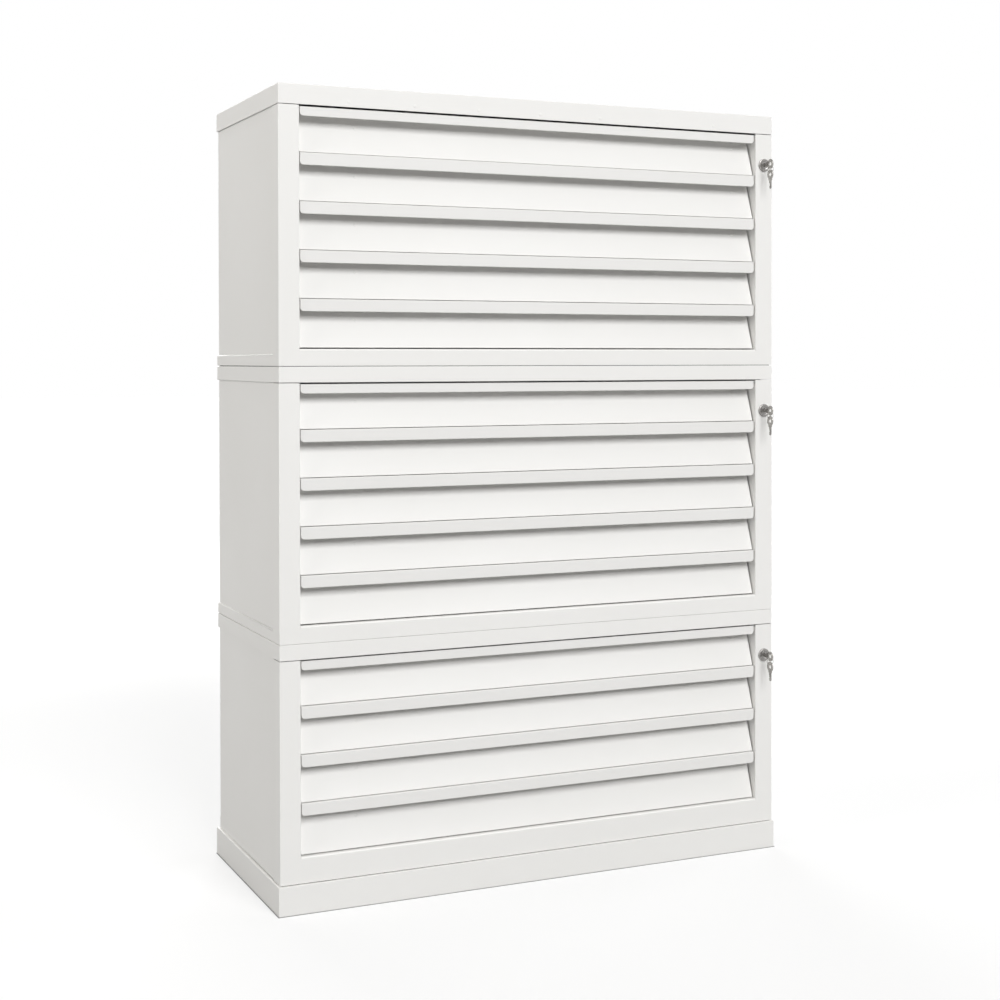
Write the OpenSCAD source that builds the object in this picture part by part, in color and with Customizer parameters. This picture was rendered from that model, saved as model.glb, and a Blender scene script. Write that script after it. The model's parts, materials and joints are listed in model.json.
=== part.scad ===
// Flat file cabinet: three stacked sheet-steel modules of shallow drawers on a plinth.
// Each drawer front is a slanted face that falls back behind a full-width pull lip.
// One lock in each module drops a bar whose tongues stand in front of a catch on every drawer.
// Millimetres, +Z up, front facing -Y, origin on the floor at the middle of the plinth.

/* [Cabinet] */
// Width over the corner posts
cabinet_w = 978; // [760:1:1400]
// Depth from the front of the frame to the back of the caps
cabinet_d = 400; // [340:1:900]
// Thickness of the carcass sheet
sheet = 1.2; // [0.8:0.1:2]
// Gap left at the seams between carcass pieces
seam = 0.4; // [0.2:0.1:1]
// How far the side panels stand inside the posts, caps and pans
panel_inset = 2; // [1.6:0.1:6]

/* [Plinth] */
// Height of the plinth
plinth_h = 50; // [40:1:120]
// How far the plinth stands out past the cabinet on every side
plinth_proud = 3; // [0:0.5:10]
// Thickness of the plinth sheet
plinth_sheet = 1.5; // [1:0.1:3]
// Width of the flange turned in at the top of the plinth
plinth_flange = 28; // [24:1:60]
// Width of the foot turned in at the bottom of the plinth
plinth_foot = 18; // [10:1:40]
// Width of the stiffener across the middle of the plinth
brace_w = 40; // [20:1:80]

/* [Frame] */
// Width of the corner posts, seen from the front
post_w = 37; // [34:1:60]
// Depth of the corner posts, seen from the side
post_d = 38; // [20:1:60]
// Height of the rail under the drawers of the middle and upper modules
rail_h = 30; // [26:1:60]
// Height of the rail under the drawers of the lower module
base_rail_h = 46; // [26:1:90]
// Radius of the rail's top edge
rail_nose_r = 3; // [2:0.5:6]
// Depth of the flange behind the rail's top edge
rail_flange = 14; // [8:1:30]
// Height of the band of the middle and lower caps
cap_h = 27.5; // [20:0.5:60]
// Height of the band of the upper cap
top_cap_h = 35; // [20:0.5:80]
// Height of the pan's turned-up sides
pan_side_h = 22; // [12:1:26]
// Width of the flange at the back of each side panel
rear_flange = 20; // [10:1:30]

/* [Drawers] */
// Distance from one drawer to the next
drawer_pitch = 82.2; // [76:0.1:120]
// Height of a pull lip
lip_h = 21; // [14:0.5:26]
// Height of the shorter lip that runs under the cap
top_lip_h = 16; // [12:0.5:26]
// Height of the lowest slanted face in the middle and upper modules
last_face_h = 61.5; // [54:0.5:90]
// Height of the lowest slanted face in the lower module
base_last_face_h = 66.5; // [54:0.5:90]
// Gap between two drawer fronts
drawer_gap = 1.7; // [1:0.1:4]
// Gap between the cap and the first lip
cap_gap = 2; // [1:0.1:5]
// Gap between the last face and the rail
rail_gap = 2; // [1:0.1:5]
// Gap between a drawer front and each post
side_gap = 1.5; // [0.8:0.1:4]
// How far the lips stand behind the front of the frame
lip_recess = 3; // [1:0.5:6]
// Thickness of the hemmed lip
lip_t = 2; // [1:0.1:3]
// Radius of the lip's lower corners
lip_r = 4.5; // [1:0.5:8]
// How far the foot of the slanted face stands behind the frame
foot_recess = 7; // [4:0.5:12]
// How far the slanted face stands behind the frame, level with the lip's lower edge
finger_recess = 27.4; // [20:0.2:30]
// Depth of a drawer front, from the frame to its back
front_d = 37; // [36:1:60]
// Thickness of the drawer sheet
drawer_sheet = 1; // [0.7:0.1:1.5]
// How far the tray's sides rise above the lip's lower edge
tray_rise = 6; // [2:0.5:6]
// How far the tray's floor stands above the foot of the slanted face
tray_lift = 5.5; // [2:0.5:12]
// Width of the hook rail folded out from each side of the tray
hook_w = 12; // [8:0.5:16]
// Height of the hook rail
hook_h = 8; // [5:0.5:12]
// Depth of the hood over the back of the tray
hood_d = 60; // [20:1:120]
// Free space behind the tray
rear_clear = 12; // [5:1:40]

/* [Runners] */
// Thickness of the runner sheet
runner_t = 1.5; // [1:0.1:2]
// Gap under the hook rail
glide_gap = 0.3; // [0.2:0.1:1]
// Gap above the hook rail
lift_gap = 0.8; // [0.5:0.1:2]
// Gap between a runner and the tray's side
runner_side_gap = 1.3; // [0.8:0.1:3]

/* [Lock] */
// Distance from the cap's lower edge down to the lock
lock_drop = 58.5; // [50:0.5:62]
// Radius of the lock's face
lock_face_r = 12; // [10.5:0.5:14]
// Thickness of the lock's face
lock_face_t = 3; // [1.5:0.5:5]
// Radius of the lock's barrel
barrel_r = 9.5; // [8:0.5:10]
// Radius of the bore that the plug turns in
plug_bore_r = 6.5; // [5.5:0.1:7]
// Clearance around the turning plug
plug_clear = 0.05; // [0.02:0.01:0.1]
// Clearance between the barrel and the hole in the post
barrel_clear = 0.2; // [0.1:0.1:0.4]
// Width of the lock nut across its corners
nut_w = 26; // [24:1:28]
// Thickness of the lock nut
nut_t = 4; // [2:0.5:6]
// Distance from the plug's axis to the cam's pin
cam_r = 7; // [6.5:0.5:8]
// Thickness of the cam
cam_t = 2.5; // [1.5:0.5:3]
// Radius of the screw that holds the cam
cam_screw_r = 2; // [1.5:0.5:2.5]
// Radius of the cam's pin
pin_r = 2; // [1.5:0.1:2.5]
// Clearance of the cam's pin in the bar's slot
pin_clear = 0.6; // [0.5:0.1:1]

/* [Lock bar] */
// Thickness of the lock bar
bar_t = 2; // [1.5:0.5:3]
// Gap between the drawer fronts' backs and the lock bar
bar_gap = 2; // [1.5:0.5:4]
// Metal left beside the slot in the bar
bar_edge = 3.3; // [2:0.1:5]
// Height of a tongue of the bar
tongue_h = 6; // [4:0.5:6]
// Gap between a tongue and the catch it stands in front of
catch_gap = 1; // [0.5:0.1:2]
// Gap between a dropped tongue and the hook rail below it
tongue_gap = 0.6; // [0.4:0.1:1]
// Radius of the catch that stands on the right-hand hook rail of each drawer
catch_r = 3; // [2:0.5:4]
// Height of the catch above the hook rail
catch_h = 7; // [5:0.5:7.5]
// Height of each guide of the bar
guide_h = 10; // [6:1:16]
// Clearance of the bar in its guides
guide_clear = 0.3; // [0.2:0.1:0.5]

/* [Keys] */
// Radius of a key's bow
bow_r = 9.3; // [8:0.1:11]
// Radius of the hole in the bow
bow_hole_r = 4; // [3:0.1:5]
// Thickness of a key
key_t = 2; // [1.5:0.1:2.2]
// Width of a key's blade
blade_w = 7.5; // [6:0.1:8]
// Length of a key's blade below its bow
blade_l = 18; // [14:0.5:24]
// Distance from the frame's front to the middle of the inserted key's bow
key_reach = 22.5; // [20:0.5:24]
// Radius of the key ring's wire
wire_r = 0.7; // [0.4:0.1:1]
// Clearance between the ring's wire and the bows
ring_clear = 0.25; // [0.2:0.05:0.5]

/* [Joining bolts] */
// Radius of the bolts
bolt_r = 3; // [2.5:0.5:4]
// Clearance between a bolt and its hole
bolt_clear = 0.3; // [0.2:0.1:0.6]
// Distance from the cabinet's side to the bolts
bolt_side = 90; // [60:1:200]
// Distance from the frame's front, and from the caps' back, to the bolts
bolt_in = 13; // [12:0.5:18]

/* [Hidden] */
$fn = 48;
PLACES = ["lower", "middle", "upper"];
MODULES = [for (m = [0 : len(PLACES) - 1]) m];
LOWER = MODULES[0];
MIDDLE = MODULES[1];
UPPER = MODULES[2];
DRAWERS = [4, 5, 5]; // drawers in the lower, middle and upper module
DRAWER_COUNT = DRAWERS[LOWER] + DRAWERS[MIDDLE] + DRAWERS[UPPER];
function two_digits(n) = n < 10 ? str("0", n) : str(n);
function place_nodes(part) = [for (m = MODULES) str(PLACES[m], "_", part)];
function drawer_nodes(part) = [for (i = [1 : DRAWER_COUNT]) str("drawer_", two_digits(i), "_", part)];
NODES = concat(
    ["plinth", "runners", "lock_cases", "bar_guides", "joining_bolts"],
    place_nodes("cap"), place_nodes("pan"),
    place_nodes("left_side"), place_nodes("right_side"), place_nodes("back"),
    place_nodes("lock_plug"), place_nodes("key"), place_nodes("spare_key"), place_nodes("lock_bar"),
    drawer_nodes("front"), drawer_nodes("tray")
);
node = "all";

WHITE = [0.93, 0.925, 0.915];
ZINC = [0.72, 0.73, 0.74];
NICKEL = [0.78, 0.77, 0.75];
STEEL = [0.62, 0.63, 0.65];
NYLON = [0.2, 0.2, 0.21];

// Planes of the carcass, front to back and side to side
frame_y = -cabinet_d / 2;
rear_y = cabinet_d / 2;
half_w = cabinet_w / 2;
open_half = half_w - post_w;
panel_out = half_w - panel_inset;
panel_in = panel_out - sheet;
flange_y = rear_y - panel_inset - sheet;
back_y = flange_y - sheet;

// Heights of the modules, from the plinth up
function rail_of(m) = m == LOWER ? base_rail_h : rail_h;
function cap_of(m) = m == UPPER ? top_cap_h : cap_h;
function last_face_of(m) = m == LOWER ? base_last_face_h : last_face_h;
function opening_of(m) =
    cap_gap + top_lip_h + (DRAWERS[m] - 1) * drawer_pitch + last_face_of(m) + rail_gap;
function base_z(m) = m == LOWER ? plinth_h : top_z(m - 1);
function rail_z(m) = base_z(m) + rail_of(m);
function cap_z(m) = rail_z(m) + opening_of(m);
function top_z(m) = cap_z(m) + cap_of(m);

// Drawers are numbered from the top of the cabinet, and rows from the top of each module
function drawer_module(i) =
    i <= DRAWERS[UPPER] ? UPPER : i <= DRAWERS[UPPER] + DRAWERS[MIDDLE] ? MIDDLE : LOWER;
function drawer_row(i) =
    drawer_module(i) == UPPER ? i - 1
    : drawer_module(i) == MIDDLE ? i - 1 - DRAWERS[UPPER]
    : i - 1 - DRAWERS[UPPER] - DRAWERS[MIDDLE];
function row_z(m, row) = cap_z(m) - cap_gap - top_lip_h - row * drawer_pitch;
function lip_z(i) = row_z(drawer_module(i), drawer_row(i));
function is_last(i) = drawer_row(i) == DRAWERS[drawer_module(i)] - 1;
common_face_h = drawer_pitch - lip_h - drawer_gap;
function lip_of(i) = drawer_row(i) == 0 ? top_lip_h : lip_h;
function face_of(i) = is_last(i) ? last_face_of(drawer_module(i)) : common_face_h;

// Drawer widths, from the front outwards to the hook rails and inwards to the tray
front_half = open_half - side_gap;
hook_inset = 0.5;
hook_half = front_half - hook_inset;
tray_half = hook_half - hook_w;
tray_front_y = frame_y + front_d;
tray_rear_y = back_y - rear_clear;
tray_floor = tray_lift - common_face_h;
tray_front_trim = 0.5; // the tray's front plate ends this far above the foot of the drawer front
back_lap = 4; // the flange at the front's back reaches this far below the top of the tray's plate

// Lock bar, between the tray's front plate and the runners
return_short = 3; // the post's inner return ends this far before the drawer fronts' backs
post_return_d = front_d - return_short;
bar_y = tray_front_y + drawer_sheet + bar_gap;
guide_wall = 4;
catch_y = bar_y + bar_t + catch_gap + catch_r;
runner_end_gap = 2; // from the catch or the guides to the runners, and from the runners to the back
runner_y = max(catch_y + catch_r, bar_y + bar_t + guide_wall) + runner_end_gap;
runner_rear_y = back_y - runner_end_gap;
lock_x = half_w - post_w / 2;
cam_turn = 90;
cam_start = cam_turn / 2; // the cam's arm starts this far above level and ends as far below it
bar_travel = 2 * cam_r * sin(cam_start);
slot_x0 = lock_x - cam_r - pin_r - pin_clear;
slot_x1 = lock_x - cam_r * cos(cam_start) + pin_r + pin_clear;
bar_x0 = open_half + side_gap;
bar_x1 = slot_x1 + bar_edge;
tongue_side_gap = 3; // from the tray's side to the tips of the tongues
tongue_x0 = tray_half + tongue_side_gap;
catch_x = tray_half + hook_w / 2;
catch_flange = 1.5; // the catch's shank is this much thinner than the catch, and its lower head as thick
bar_tail = 14; // the bar runs this far below its lowest tongue
guide_drop = 18; // from the cap's lower edge to the top of the upper guide
guide_rise = 14; // from the top of the lowest tongue to the lower guide
slot_keep = 1; // the guides' groove stays this far from the bar's slot
function lock_z(m) = cap_z(m) - lock_drop;
function last_row(m) = DRAWERS[m] - 1;
// The foot of a tongue in the unlocked bar
function tongue_z(m, row) = row_z(m, row) + tray_rise + tongue_gap + bar_travel;

// The lock's parts along its axis
cam_room = 8; // from the barrel's end to the lock bar
cam_gap = 0.2;
barrel_end_y = bar_y - cam_room;
cam_y = barrel_end_y + cam_gap;
plug_sunk = 0.3; // the plug's face stands this far behind the lock's face
plug_face_y = frame_y - lock_face_t + plug_sunk;
cam_hub_less = 1; // the cam's hub is this much smaller than the barrel in radius
cam_head_r = 4;
cam_head_t = 2.5;
cam_screw_l = 8; // how far the cam's screw reaches into the plug
keyway_clear = 0.15;
keyway_depth = 20;

// The two keys and their ring
ring_reach = bow_hole_r - wire_r - ring_clear;
bow_gap = 1;
shank_lap = 1; // the blade runs up to this far below the hole in the bow
spare_drop = 2 * bow_r + bow_gap;
ring_r = spare_drop / 2 - ring_reach;

bolt_x = half_w - bolt_side;
bolt_head_r = 5.5;
bolt_head_t = 4;
bolt_nut_t = 5;
bolt_tail = 2; // the bolt's end stands this far below its nut
bolt_thread_gap = 0.05;
BOLT_SIDES = [for (x = [-1, 1], y = [-1, 1]) [x * bolt_x, y * (cabinet_d / 2 - bolt_in)]];
stack_gap = 0.05; // between a riveted or screwed piece and what it is fixed to
eps = 0.01; // overshoot of a cut past the face it opens

// A box from corner a to corner b
module block(a, b) {
    translate(a) cube(b - a);
}

// A plane outline in Y and Z, run along X
module along_x(x0, x1) {
    translate([x0, 0, 0]) rotate([90, 0, 90]) linear_extrude(x1 - x0) children();
}

// A plane outline in X and Z, run along Y
module along_y(y0, y1) {
    translate([0, y1, 0]) rotate([90, 0, 0]) linear_extrude(y1 - y0) children();
}

// A round rod along Y
module rod_y(x, z, y0, y1, r) {
    translate([x, y0, z]) rotate([-90, 0, 0]) cylinder(h = y1 - y0, r = r);
}

// Holes for the joining bolts, through one sheet
module bolt_holes(z, t) {
    for (p = BOLT_SIDES)
        translate([p.x, p.y, z - eps]) cylinder(h = t + 2 * eps, r = bolt_r + bolt_clear);
}

module plinth() {
    out = [half_w + plinth_proud, cabinet_d / 2 + plinth_proud];
    wall = out - [plinth_sheet, plinth_sheet];
    flange = out - [plinth_flange, plinth_flange];
    foot = out - [plinth_foot, plinth_foot];
    color(WHITE) {
        difference() {
            block([-out.x, -out.y, 0], [out.x, out.y, plinth_h]);
            block([-wall.x, -wall.y, plinth_sheet], [wall.x, wall.y, plinth_h - plinth_sheet]);
            block([-flange.x, -flange.y, plinth_h / 2], [flange.x, flange.y, plinth_h + eps]);
            block([-foot.x, -foot.y, -eps], [foot.x, foot.y, plinth_h / 2]);
            bolt_holes(plinth_h - plinth_sheet, plinth_sheet);
        }
        plinth_brace(wall.y);
    }
}

// A channel under the plinth's top flanges, open downwards
module plinth_brace(reach) {
    top = plinth_h - plinth_sheet;
    leg = plinth_h / 2;
    difference() {
        block([-brace_w / 2, -reach, leg], [brace_w / 2, reach, top]);
        block([-brace_w / 2 + plinth_sheet, -reach - eps, leg - eps],
              [brace_w / 2 - plinth_sheet, reach + eps, top - plinth_sheet]);
    }
}

module cap(m) {
    color(WHITE) difference() {
        block([-half_w, frame_y, cap_z(m)], [half_w, rear_y, top_z(m)]);
        block([-half_w + sheet, frame_y + sheet, cap_z(m) - eps],
              [half_w - sheet, rear_y - sheet, top_z(m) - sheet]);
        if (m != UPPER) bolt_holes(top_z(m) - sheet, sheet);
    }
}

// The rail's rounded top edge and the flange behind it
module rail_nose(m) {
    z = rail_z(m) - rail_nose_r;
    along_x(-open_half, open_half) {
        translate([frame_y + rail_nose_r, z]) difference() {
            circle(r = rail_nose_r);
            circle(r = rail_nose_r - sheet);
            translate([-2 * rail_nose_r, -2 * rail_nose_r]) square([4 * rail_nose_r, 2 * rail_nose_r]);
            translate([0, -rail_nose_r]) square(2 * rail_nose_r);
        }
        translate([frame_y + rail_nose_r - eps, rail_z(m) - sheet])
            square([rail_flange - rail_nose_r + eps, sheet]);
    }
}

// A bottom sheet with the front rail, the corner returns and turned-up sides and back
module pan(m) {
    z0 = base_z(m);
    band_z = rail_z(m) - rail_nose_r;
    post_y = frame_y + post_d;
    inside = m == LOWER; // the lower pan turns up inside the side panels
    side_out = inside ? panel_in : half_w;
    side_y0 = inside ? post_y : post_y - eps;
    side_y1 = inside ? back_y - seam : rear_y;
    sheet_half = inside ? panel_out : half_w;
    color(WHITE) difference() {
        union() {
            block([-half_w, frame_y, z0], [half_w, post_y, z0 + sheet]);
            block([-sheet_half, post_y - eps, z0], [sheet_half, rear_y, z0 + sheet]);
            block([-half_w, frame_y, z0], [half_w, frame_y + sheet, band_z + eps]);
            rail_nose(m);
            for (s = [0, 1]) mirror([s, 0, 0]) {
                block([half_w - sheet, frame_y, z0], [half_w, post_y, band_z]);
                block([side_out - sheet, side_y0, z0], [side_out, side_y1, z0 + pan_side_h]);
            }
            block([-side_out, rear_y - sheet, z0], [side_out, rear_y, z0 + pan_side_h]);
        }
        bolt_holes(z0, sheet);
    }
}

// The right-hand side: a box-folded corner post that steps in to the side panel
module side_sheet(m) {
    post_z0 = rail_z(m) - rail_nose_r + seam;
    post_z1 = cap_z(m) - seam;
    panel_z0 = base_z(m) + sheet;
    panel_z1 = top_z(m) - sheet;
    step_y = frame_y + post_d;
    block([open_half, frame_y, post_z0], [half_w, frame_y + sheet, post_z1]);
    block([open_half, frame_y, post_z0], [open_half + sheet, frame_y + post_return_d, post_z1]);
    block([half_w - sheet, frame_y, post_z0], [half_w, step_y, post_z1]);
    block([panel_in, step_y - sheet, post_z0], [half_w, step_y, post_z1]);
    block([panel_in, step_y - sheet, panel_z0], [panel_out, flange_y + sheet, panel_z1]);
    block([panel_out - rear_flange, flange_y, panel_z0], [panel_out, flange_y + sheet, panel_z1]);
}

module left_side(m) {
    color(WHITE) mirror([1, 0, 0]) side_sheet(m);
}

module right_side(m) {
    color(WHITE) difference() {
        side_sheet(m);
        rod_y(lock_x, lock_z(m), frame_y - eps, frame_y + sheet + eps, barrel_r + barrel_clear);
    }
}

module back(m) {
    color(WHITE)
        block([-panel_in, back_y, base_z(m) + sheet], [panel_in, flange_y, top_z(m) - sheet]);
}

// One channel for a drawer's hook rail, on the right-hand side panel
module runner(z) {
    inner = tray_half + runner_side_gap;
    low = z + tray_rise - hook_h - glide_gap;
    high = z + tray_rise + lift_gap;
    block([panel_in - runner_t, runner_y, low - runner_t], [panel_in, runner_rear_y, high + runner_t]);
    block([inner, runner_y, low - runner_t], [panel_in, runner_rear_y, low]);
    block([inner, runner_y, high], [panel_in, runner_rear_y, high + runner_t]);
}

module runners() {
    color(ZINC)
        for (i = [1 : DRAWER_COUNT])
            for (s = [0, 1])
                mirror([s, 0, 0]) runner(lip_z(i));
}

// How far the slanted face stands behind the frame at height v above the lip's lower edge
function face_slope(face_h) = (finger_recess - foot_recess) / face_h;
function face_recess(v, face_h) = finger_recess + v * face_slope(face_h);

// The lip's outline: square above, rounded at both lower corners
module lip_outline(h) {
    translate([-front_half, lip_r]) square([2 * front_half, h - lip_r]);
    translate([lip_r - front_half, 0]) square([2 * (front_half - lip_r), h]);
    for (s = [-1, 1]) translate([s * (front_half - lip_r), lip_r]) circle(r = lip_r);
}

// A slanted face folded into a hollow front, half open at its back, with the lip hung before it
module drawer_front(i) {
    z = lip_z(i);
    lip = lip_of(i);
    face_h = face_of(i);
    skin = drawer_sheet * sqrt(1 + pow(face_slope(face_h), 2));
    inner_low = drawer_sheet - face_h;
    inner_high = lip - drawer_sheet;
    color(WHITE) translate([0, frame_y, z]) {
        difference() {
            along_x(-front_half, front_half) polygon([
                [foot_recess, -face_h], [front_d, -face_h],
                [front_d, lip], [face_recess(lip, face_h), lip]
            ]);
            along_x(drawer_sheet - front_half, front_half - drawer_sheet) polygon([
                [face_recess(inner_low, face_h) + skin, inner_low], [front_d + eps, inner_low],
                [front_d + eps, inner_high], [face_recess(inner_high, face_h) + skin, inner_high]
            ]);
        }
        block([-front_half, lip_recess, lip - drawer_sheet], [front_half, front_d, lip]);
        block([-front_half, front_d - drawer_sheet, tray_rise - back_lap], [front_half, front_d, lip]);
        along_y(lip_recess, lip_recess + lip_t) lip_outline(lip);
    }
}

// One side of the tray with its hook rail
module tray_side() {
    top = tray_rise;
    block([tray_half - drawer_sheet, tray_front_y, tray_floor], [tray_half, tray_rear_y, top]);
    block([tray_half - drawer_sheet, tray_front_y, top - drawer_sheet], [hook_half, tray_rear_y, top]);
    block([hook_half - drawer_sheet, tray_front_y, top - hook_h], [hook_half, tray_rear_y, top]);
}

// The catch riveted to the right-hand hook rail: a stud above the rail and a closed head below
module tray_catch() {
    shank_r = catch_r - catch_flange;
    seat = tray_rise + stack_gap;
    low = tray_rise - drawer_sheet - stack_gap - catch_flange;
    translate([catch_x, catch_y, seat]) cylinder(h = catch_h, r = catch_r);
    translate([catch_x, catch_y, low]) cylinder(h = seat + eps - low, r = shank_r);
    translate([catch_x, catch_y, low]) cylinder(h = catch_flange, r = catch_r);
}

// An open tray hung from its hook rails, with a front plate, a hood at the back and the catch
module drawer_tray(i) {
    plate_low = tray_front_trim - face_of(i);
    color(WHITE) translate([0, 0, lip_z(i)]) {
        difference() {
            union() {
                block([-hook_half, tray_front_y, plate_low],
                      [hook_half, tray_front_y + drawer_sheet, tray_rise]);
                block([-tray_half, tray_front_y, tray_floor],
                      [tray_half, tray_rear_y, tray_floor + drawer_sheet]);
                for (s = [0, 1]) mirror([s, 0, 0]) tray_side();
                block([-tray_half, tray_rear_y - drawer_sheet, tray_floor],
                      [tray_half, tray_rear_y, tray_rise]);
                block([-tray_half, tray_rear_y - hood_d, tray_rise - drawer_sheet],
                      [tray_half, tray_rear_y, tray_rise]);
            }
            translate([catch_x, catch_y, tray_rise - drawer_sheet - eps])
                cylinder(h = drawer_sheet + 2 * eps, r = catch_r - catch_flange + stack_gap);
        }
    }
    color(ZINC) translate([0, 0, lip_z(i)]) tray_catch();
}

// The face, barrel and nut of one lock; the barrel stands in the hole of the right-hand post
module lock_case(m) {
    face_y = frame_y - lock_face_t;
    difference() {
        union() {
            rod_y(lock_x, lock_z(m), face_y, frame_y, lock_face_r);
            rod_y(lock_x, lock_z(m), face_y, barrel_end_y, barrel_r);
        }
        rod_y(lock_x, lock_z(m), face_y - eps, barrel_end_y + eps, plug_bore_r);
    }
    difference() {
        translate([lock_x, frame_y + sheet, lock_z(m)]) rotate([-90, 0, 0])
            cylinder(h = nut_t, r = nut_w / 2, $fn = 6);
        rod_y(lock_x, lock_z(m), frame_y, frame_y + sheet + nut_t + eps, barrel_r + bolt_thread_gap);
    }
}

module lock_cases() {
    color(NICKEL) for (m = MODULES) lock_case(m);
}

// The turning plug with its keyway, and the threaded hole in its end
module plug() {
    slot = [key_t / 2 + keyway_clear, blade_w / 2 + keyway_clear];
    difference() {
        rod_y(0, 0, plug_face_y, cam_y - stack_gap, plug_bore_r - plug_clear);
        block([-slot.x, plug_face_y - eps, -slot.y], [slot.x, plug_face_y + keyway_depth, slot.y]);
        rod_y(0, 0, cam_y - cam_screw_l - stack_gap, cam_y, cam_screw_r + stack_gap);
    }
}

// The cam, with the pin that works the lock bar at the end of its arm
module cam() {
    difference() {
        union() {
            rod_y(0, 0, cam_y, cam_y + cam_t, barrel_r - cam_hub_less);
            along_y(cam_y, cam_y + cam_t) rotate(180 - cam_start) {
                translate([0, -2 * pin_r]) square([cam_r, 4 * pin_r]);
                translate([cam_r, 0]) circle(r = 2 * pin_r);
            }
        }
        rod_y(0, 0, cam_y - eps, cam_y + cam_t + eps, cam_screw_r + stack_gap);
    }
    rod_y(-cam_r * cos(cam_start), cam_r * sin(cam_start),
          cam_y + cam_t / 2, bar_y + bar_t + catch_gap, pin_r);
}

// The plug, its cam and the screw that holds the cam
module lock_plug(m) {
    head_y = cam_y + cam_t + stack_gap;
    color(NICKEL) translate([lock_x, 0, lock_z(m)]) {
        plug();
        cam();
        rod_y(0, 0, head_y, head_y + cam_head_t, cam_head_r);
        rod_y(0, 0, cam_y - cam_screw_l, head_y + eps, cam_screw_r);
    }
}

// A flat key standing up and down: a round bow with its hole, and the blade
module key_shape() {
    difference() {
        union() {
            rotate([0, 90, 0]) cylinder(h = key_t, r = bow_r, center = true);
            block([-key_t / 2, -blade_w / 2, -bow_r - blade_l],
                  [key_t / 2, blade_w / 2, -bow_hole_r - shank_lap]);
        }
        rotate([0, 90, 0]) cylinder(h = key_t + 2 * eps, r = bow_hole_r, center = true);
    }
}

module key(m) {
    color(NICKEL) translate([lock_x, frame_y - key_reach, lock_z(m)]) rotate([90, 0, 0]) key_shape();
}

// The spare key and the ring that hangs it from the inserted key's bow
module spare_key(m) {
    color(NICKEL) translate([lock_x, frame_y - key_reach, lock_z(m)]) {
        translate([0, 0, -spare_drop]) key_shape();
        translate([0, 0, -spare_drop / 2]) rotate([90, 0, 0])
            rotate_extrude() translate([ring_r, 0]) circle(r = wire_r);
    }
}

// A flat bar with one tongue for each drawer and the slot that the cam's pin works in
module lock_bar(m) {
    low = tongue_z(m, last_row(m)) - bar_tail;
    high = tongue_z(m, 0) + tongue_h;
    slot_z = lock_z(m) + bar_travel / 2;
    slot_half = pin_r + pin_clear;
    color(ZINC) along_y(bar_y, bar_y + bar_t) difference() {
        union() {
            translate([bar_x0, low]) square([bar_x1 - bar_x0, high - low]);
            for (row = [0 : last_row(m)])
                translate([tongue_x0, tongue_z(m, row)]) square([bar_x1 - tongue_x0, tongue_h]);
        }
        translate([slot_x0, slot_z - slot_half]) square([slot_x1 - slot_x0, 2 * slot_half]);
    }
}

// A block on the side panel, with a groove for the bar's outer edge
module bar_guide(z) {
    grip = bar_edge - slot_keep;
    difference() {
        block([bar_x1 - grip, bar_y - guide_wall, z], [panel_in, bar_y + bar_t + guide_wall, z + guide_h]);
        block([bar_x1 - grip - eps, bar_y - guide_clear, z - eps],
              [bar_x1 + guide_clear, bar_y + bar_t + guide_clear, z + guide_h + eps]);
    }
}

module bar_guides() {
    color(NYLON) for (m = MODULES) {
        bar_guide(cap_z(m) - guide_drop - guide_h);
        bar_guide(tongue_z(m, last_row(m)) + tongue_h + guide_rise);
    }
}

// One bolt through the two sheets that meet at height z, with its nut below
module joining_bolt(z, grip) {
    translate([0, 0, z + sheet]) cylinder(h = bolt_head_t, r = bolt_head_r, $fn = 6);
    translate([0, 0, z - grip - bolt_nut_t - bolt_tail])
        cylinder(h = sheet + grip + bolt_nut_t + bolt_tail + bolt_head_t / 2, r = bolt_r);
    translate([0, 0, z - grip - bolt_nut_t]) difference() {
        cylinder(h = bolt_nut_t, r = bolt_head_r, $fn = 6);
        translate([0, 0, -eps]) cylinder(h = bolt_nut_t + 2 * eps, r = bolt_r + bolt_thread_gap);
    }
}

module joining_bolts() {
    color(ZINC)
        for (m = MODULES)
            for (p = BOLT_SIDES)
                translate([p.x, p.y, 0]) joining_bolt(base_z(m), m == LOWER ? plinth_sheet : sheet);
}

// Whether a module's or a drawer's node is the one asked for
function shows(name) = node == "all" || node == name;
function shows_in(m, part) = shows(str(PLACES[m], "_", part));
function shows_drawer(i, part) = shows(str("drawer_", two_digits(i), "_", part));

if (shows("plinth")) plinth();
if (shows("runners")) runners();
if (shows("lock_cases")) lock_cases();
if (shows("bar_guides")) bar_guides();
if (shows("joining_bolts")) joining_bolts();
for (m = MODULES) {
    if (shows_in(m, "cap")) cap(m);
    if (shows_in(m, "pan")) pan(m);
    if (shows_in(m, "left_side")) left_side(m);
    if (shows_in(m, "right_side")) right_side(m);
    if (shows_in(m, "back")) back(m);
    if (shows_in(m, "lock_plug")) lock_plug(m);
    if (shows_in(m, "key")) key(m);
    if (shows_in(m, "spare_key")) spare_key(m);
    if (shows_in(m, "lock_bar")) lock_bar(m);
}
for (i = [1 : DRAWER_COUNT]) {
    if (shows_drawer(i, "front")) drawer_front(i);
    if (shows_drawer(i, "tray")) drawer_tray(i);
}
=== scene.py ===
# %% [markdown]
# # A flat file cabinet, dressed over its fixed frame
# The cabinet is three stacked sheet-steel modules on a plinth, all in white powder coat. The exact
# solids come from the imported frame, so nothing here is measured or fitted again: each step only
# gives a solid the softness, the finish and the small fittings that the real thing has.

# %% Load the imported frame
import json
import math

import bmesh
import bpy
from mathutils import Matrix, Vector
from mathutils.bvhtree import BVHTree

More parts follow.
